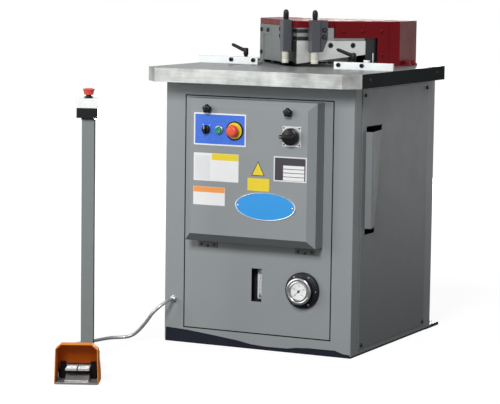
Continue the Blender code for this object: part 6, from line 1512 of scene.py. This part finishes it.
class PRESS_OT_gauge(PressStep, Operator):
    """Build the pressure gauge, its dial, needle and lens"""

    bl_idname = "press.gauge"
    bl_label = "Gauge"

    flange_screws, flange_circle = 6, 0.050
    case_screws, case_circle = 3, 0.0385
    dial_radius, dial_depth = 0.0285, 0.0059
    lens_depth = 0.0024
    tick_count, long_every, number_count = 25, 6, 5
    start, sweep = math.radians(225), math.radians(270)

    def make(self, sizes):
        self.centre = middle("gauge_case")
        self.flange()
        self.case(sizes)
        self.dial()
        dress("gauge_needle", ["Needle Black"], 0.0001)
        dial = self.dial_radius
        lens = lathe((
            (0, 0), (dial - 0.0004, 0), (dial - 0.0004, 0.0008), (dial * 0.6, 0.0014), (dial * 0.3, 0.0016),
            (0, 0.0017),
        ), self.facing(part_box("gauge_case")[0].y + self.lens_depth), 64)
        add_on("gauge_lens", lens, ["Gauge Lens"], "gauge_case")

    def facing(self, y):
        """The frame on the gauge's axis that looks out at the user."""
        return placed((self.centre.x, y, self.centre.z), FORWARD)

    def flange(self):
        """The round black flange with its screws."""
        radius, thick = half_size("gauge_flange").x, GAUGE_FLANGE_THICKNESS
        where = self.facing(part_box("gauge_flange")[1].y)
        body = lathe((
            (0.0100, 0), (radius - 0.0006, 0), (radius, 0.0008), (radius, thick * 0.72),
            (radius - 0.0008, thick * 0.86), (radius - 0.0030, thick), (0.0100, thick), (0.0100, 0),
        ), where, 72)
        places = [
            round_centre(where, self.flange_circle, math.tau * number / self.flange_screws, thick)
            for number in range(self.flange_screws)
        ]
        dress("gauge_flange", ["Flange Plastic"], 0.0, body)
        fasteners("gauge_flange_screws", socket_screw, places, 0.0031, 0.0019, "gauge_flange", "Stud Steel")

    def case(self, sizes):
        """The steel case: a drum, a stepped bezel and the wall round the dial."""
        low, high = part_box("gauge_case")
        radius = half_size("gauge_case").x
        back = CABINET_FACE - GAUGE_FLANGE_THICKNESS - GAP
        depth = back - low.y
        dial, floor = self.dial_radius, depth - self.dial_depth
        step = dial + sizes.bezel_width
        where = self.facing(back)
        drum = lathe((
            (0, back - high.y), (0.009, back - high.y), (0.009, 0), (radius * 0.94, 0),
            (radius * 0.94, depth * 0.66), (radius * 0.955, depth * 0.69), (radius * 0.99, depth * 0.70),
            (radius, depth * 0.73), (radius, depth * 0.90), (radius * 0.985, depth * 0.955),
            (radius * 0.95, depth * 0.985), (step + 0.0022, depth), (step + 0.0010, depth - 0.0008),
            (step, depth - 0.0004), (dial + 0.0010, depth - 0.0002), (dial, depth - 0.0010),
            (dial, floor), (0, floor),
        ), where, 96)
        screws = []
        for number in range(self.case_screws):
            turn = math.radians(90) + math.tau * number / self.case_screws
            screws.append(button_screw(
                round_centre(where, self.case_circle, turn, depth - 0.0014), 0.0022, 0.0014
            ))
        dress("gauge_case", ["Gauge Steel"], 0.0, merged(drum, *screws))

    def dial(self):
        """The white dial with its ticks and plain numbers."""
        where = on_front(self.centre.x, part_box("gauge_case")[0].y + self.dial_depth, self.centre.z)
        radius = self.dial_radius
        disc = lathe(((0, 0), (radius - 0.0006, 0), (radius - 0.0006, 0.0004), (0, 0.0004)), where, 72)
        marks = []
        for number in range(self.tick_count):
            inner, half = (0.78, 0.00042) if number % self.long_every == 0 else (0.84, 0.00022)
            turned = round_centre(where, 0.0, self.turn_at(number / (self.tick_count - 1)))
            marks.append(slab((radius * inner, -half, 0.0002), (radius * 0.91, half, 0.00048), turned))
        for step in range(self.number_count):
            marks.append(self.number(str(step * 10), step / (self.number_count - 1), where))
        shape = merged(disc, tint(merged(*marks), 1))
        add_on("gauge_dial", shape, ["Dial White", "Needle Black"], "gauge_case")

    def turn_at(self, share):
        """The angle of a reading, from the lower left round over the top."""
        return self.start - self.sweep * share

    def number(self, words, share, where):
        """A number on the dial, as a thin raised shape."""
        curve = bpy.data.curves.new("number", "FONT")
        curve.body = words
        curve.size = self.dial_radius * 0.22
        curve.align_x = "CENTER"
        curve.align_y = "CENTER"
        curve.extrude = 0.00012
        thing = added("number", curve)
        mesh = bpy.data.meshes.new_from_object(thing.evaluated_get(bpy.context.evaluated_depsgraph_get()))
        shape = bmesh.new()
        shape.from_mesh(mesh)
        bpy.data.objects.remove(thing)
        bpy.data.curves.remove(curve)
        bpy.data.meshes.remove(mesh)
        turn = self.turn_at(share)
        spot = Vector((math.cos(turn), math.sin(turn), 0)) * self.dial_radius * 0.60
        return moved(shape, where @ Matrix.Translation((spot.x, spot.y, 0.0004)))


class PRESS_OT_oil_glass(PressStep, Operator):
    """Fit the oil level glass behind the sight slot"""

    bl_idname = "press.oil_glass"
    bl_label = "Oil Glass"

    bolt_reach = 0.0385
    wall_reach = 0.0062
    tube_radius, tube_half = 0.0046, 0.0305
    line_spacing, line_reach = 0.0085, 3

    def make(self, sizes):
        centre, half = middle("oil_level_glass"), half_size("oil_level_glass")
        deep = half.y * 2
        back = centre.y + half.y
        where = on_front(centre.x, back, centre.z)

        def block(x, y, wide, tall, start, end, corner=0.0):
            """A block round a spot on the glass, from one share of its depth to another."""
            low, high = (x - wide, y - tall, deep * start), (x + wide, y + tall, deep * end)
            return slab(low, high, where, corner)

        tube = lathe((
            (0, -self.tube_half), (self.tube_radius, -self.tube_half), (self.tube_radius, self.tube_half),
            (0, self.tube_half),
        ), Matrix.Translation((centre.x, back - deep * 0.66, centre.z)), 32)
        shapes = [block(0.0, 0.0, half.x, half.z, 0.0, 0.62, half.x * 0.45), tint(tube, 2)]
        for side in MIRROR:
            bolt = where @ Matrix.Translation((0, side * self.bolt_reach, deep * 0.84))
            shapes += (
                block(side * self.wall_reach, 0.0, 0.0018, 0.030, 0.55, 0.9, 0.0008),
                block(0.0, side * self.bolt_reach, half.x * 0.8, 0.0085, 0.5, 0.85, 0.003),
                tint(hexagon_bolt(bolt, 0.0052, deep * 0.13), 1),
            )
        for number in range(-self.line_reach, self.line_reach + 1):
            height = number * self.line_spacing
            shapes.append(tint(block(-0.0020, height, 0.0020, 0.0003, 0.60, 0.63), 3))
        shape = merged(*shapes)
        looks = ["Level Body", "Stud Steel", "Level Window", "Needle Black"]
        dress("oil_level_glass", looks, 0.0004, shape)


class PRESS_OT_inside(PressStep, Operator):
    """Finish the pieces inside the cabinet"""

    bl_idname = "press.inside"
    bl_label = "Inside"

    looks = {
        "electrical_box": "Box Paint", "oil_tank": "Tank Paint", "pump_unit": "Motor Paint",
        "scrap_chute": "Zinc Sheet", "hydraulic_cylinder": "Cylinder Steel",
    }

    def make(self, sizes):
        for name, look in self.looks.items():
            dress(name, [look], sizes.sheet_edge)


class PRESS_OT_station(PressStep, Operator):
    """Build the foot station: base with its ramp, pedal guard, treadle and switch body"""

    bl_idname = "press.station"
    bl_label = "Foot Station"

    plate_top, ramp_top = 0.0062, 0.0215
    inner_reach, hood_edge = 0.012, 0.004
    rib_count, rib_pitch, rib_width = 7, 0.0062, 0.0025

    def make(self, sizes):
        base = tint(trimmed("station_base"), 1, lambda face: height_of(face) > self.plate_top - 0.0001)
        dress("station_base", ["Station Steel", "Treadle Aluminium"], sizes.sheet_edge, base)
        ramp = slab((-0.0355, 0.0070, self.plate_top), (0.0355, 0.0600, 0.0105))
        for vert in ramp.verts:
            if vert.co.y > 0.05 and vert.co.z > 0.01:
                vert.co.z = self.ramp_top
        add_on("station_base_ramp", moved(ramp, on_station()), ["Treadle Aluminium"], "station_base", 0.0006)
        self.guard(sizes)
        dress("foot_switch", ["Switch Housing Paint"], sizes.steel_edge)
        self.treadle(sizes)

    def guard(self, sizes):
        """The folded pedal guard, with painted shade on its inner faces, a painted light on its left inner
        wall and black sheets of painted shade inside.
        """
        heart = on_station(0.0, 0.030, 0.060).translation
        to_station = on_station().inverted()

        def inner(face):
            """The face is inside the guard, and not on its front edge."""
            spot = face.calc_center_median()
            behind = abs((to_station @ spot).y) > self.hood_edge
            return face.normal.dot(heart - spot) > self.inner_reach and behind

        hood = tint(trimmed("pedal_guard"), 1, inner)
        # Faces that look to the station's right form the left inner wall: a brighter orange, painted light
        tint(hood, 2, lambda face: inner(face) and face.normal.dot(STATION_RIGHT) > 0.8)
        dress("pedal_guard", ["Hood Paint", "Hood Inside Painted Shade", "Hood Left Painted Light"], sizes.sheet_edge, hood)
        # Thin black sheets inside the guard's side walls, put there as painted shade
        shade_sheets = []
        for side in MIRROR:
            for near, far, front, back, top in (
                (0.0368, 0.0530, 0.0640, 0.0660, 0.0580), (0.0455, 0.0615, 0.0820, 0.0838, 0.0310),
            ):
                left, right = sorted((side * near, side * far))
                low = (left, front, self.plate_top + 0.0001)
                shade_sheets.append(slab(low, (right, back, top), on_station()))
        add_on("pedal_guard_shade_sheets", merged(*shade_sheets), ["Black Rubber And Painted Shade"], "pedal_guard")

    def treadle(self, sizes):
        """The treadle with a ribbed tread in two halves."""
        ribs = []
        for number in range(self.rib_count):
            front = 0.030 + number * self.rib_pitch
            for left, right in ((-0.0330, -0.0022), (0.0022, 0.0330)):
                low, high = (left, front, 0.0425), (right, front + self.rib_width, 0.0440)
                ribs.append(slab(low, high, on_station(), 0.0008, "X"))
        groove = slab((-0.0016, 0.0246, 0.0366), (0.0016, 0.0740, 0.0434), on_station())
        shape = merged(trimmed("pedal_treadle"), *ribs, tint(groove, 1))
        dress("pedal_treadle", ["Treadle Aluminium", "Black Rubber And Painted Shade"], sizes.steel_edge, shape)


class PRESS_OT_post(PressStep, Operator):
    """Stand the post with its stop box and red button"""

    bl_idname = "press.post"
    bl_label = "Post"

    box_turn = math.radians(-3)
    collar_height, collar_cut = 0.0100, 0.0052
    head_height = 0.0205

    def on_right(self, face):
        """The face looks to the station's right."""
        return face.normal.dot(STATION_RIGHT) > 0.9

    def make(self, sizes):
        # The post's right faces get painted shade
        post = tint(trimmed("station_post"), 1, self.on_right)
        dress("station_post", ["Post Paint", "Post Right Painted Shade"], 0.0012, post, segments=3)
        self.box()
        self.button()

    def box(self):
        """The box of the stop button, a little turned on its post, with a low black collar and painted shade
        on its right faces.
        """
        spot = middle("station_stop_button")
        spot.z = 0.0
        turned = placed(spot, turn=self.box_turn) @ Matrix.Translation(-spot)
        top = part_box("stop_box_cover")[1].z
        cover = trimmed("stop_box_cover")
        for vert in cover.verts:
            if vert.co.z > top - 0.001:
                vert.co.z -= self.collar_cut
        collar_foot = top - self.collar_height
        # The right faces of the box and cover get darker finishes as painted shade
        base = tint(trimmed("stop_box_base"), 1, self.on_right)
        tint(cover, 1, lambda face: height_of(face) > collar_foot)
        tint(cover, 2, lambda face: self.on_right(face) and height_of(face) < collar_foot)
        dress("stop_box_base", ["Black Plastic", "Post Right Painted Shade"], 0.0018, moved(base, turned), 3)
        looks = ["White Plastic", "Black Plastic", "Cover Right Painted Shade"]
        dress("stop_box_cover", looks, 0.0012, moved(cover, turned), 3)

    def button(self):
        """The red head of the station: a flat rim over a tapering skirt, on a black collar."""
        low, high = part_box("station_stop_button")
        centre = middle("station_stop_button")
        where = placed((centre.x, centre.y, 0.0))
        base = high.z - self.head_height
        radius = (high.x - low.x) / 2
        stem = lathe(((0, low.z), (0.0088, low.z), (0.0088, base + 0.0010), (0, base + 0.0010)), where)
        head = lathe((
            (0, base), (radius * 0.68, base), (radius * 0.74, base + 0.0012), (radius * 0.82, base + 0.0090),
            (radius * 0.90, base + 0.0132), (radius * 0.99, base + 0.0146), (radius, base + 0.0158),
            (radius * 0.96, base + 0.0170), (radius * 0.80, base + 0.0184), (radius * 0.50, base + 0.0198),
            (0, high.z),
        ), where, 72)
        looks = ["Black Plastic", "Station Red Plastic"]
        dress("station_stop_button", looks, 0.0, merged(stem, tint(head, 1)))


STEPS = (
    PRESS_OT_camera, PRESS_OT_finishes, PRESS_OT_stage, PRESS_OT_cable, PRESS_OT_cabinet, PRESS_OT_panels,
    PRESS_OT_table, PRESS_OT_head, PRESS_OT_blades, PRESS_OT_ram, PRESS_OT_hold_downs, PRESS_OT_fences,
    PRESS_OT_door, PRESS_OT_labels, PRESS_OT_controls, PRESS_OT_badge, PRESS_OT_gauge, PRESS_OT_oil_glass,
    PRESS_OT_inside, PRESS_OT_station, PRESS_OT_post,
)


class PRESS_PT_steps(Panel):
    """The steps and settings of the press, in the sidebar"""

    bl_label = "Notching Press"
    bl_idname = "PRESS_PT_steps"
    bl_space_type = "VIEW_3D"
    bl_region_type = "UI"
    bl_category = "Notching Press"

    def draw(self, context):
        layout = self.layout
        for step in STEPS:
            layout.operator(step.bl_idname)
        for settings in (context.scene.press_sizes, context.scene.press_colours):
            box = layout.box()
            for name in settings.__annotations__:
                box.prop(settings, name)


CLASSES = (PressSizes, PressColours, *STEPS, PRESS_PT_steps)


def register():
    """Adds the settings, the steps and the panel."""
    for made in CLASSES:
        bpy.utils.register_class(made)
    bpy.types.Scene.press_sizes = PointerProperty(type=PressSizes)
    bpy.types.Scene.press_colours = PointerProperty(type=PressColours)


def unregister():
    """Takes them out again."""
    del bpy.types.Scene.press_colours
    del bpy.types.Scene.press_sizes
    for made in reversed(CLASSES):
        bpy.utils.unregister_class(made)


def main():
    """Registers the steps, sets the view transform and runs every step in order."""
    register()
    bpy.context.scene.view_settings.view_transform = "Standard"
    for step in STEPS:
        group, name = step.bl_idname.split(".")
        getattr(getattr(bpy.ops, group), name)()
    bpy.context.view_layer.update()


if __name__ == "__main__":
    main()
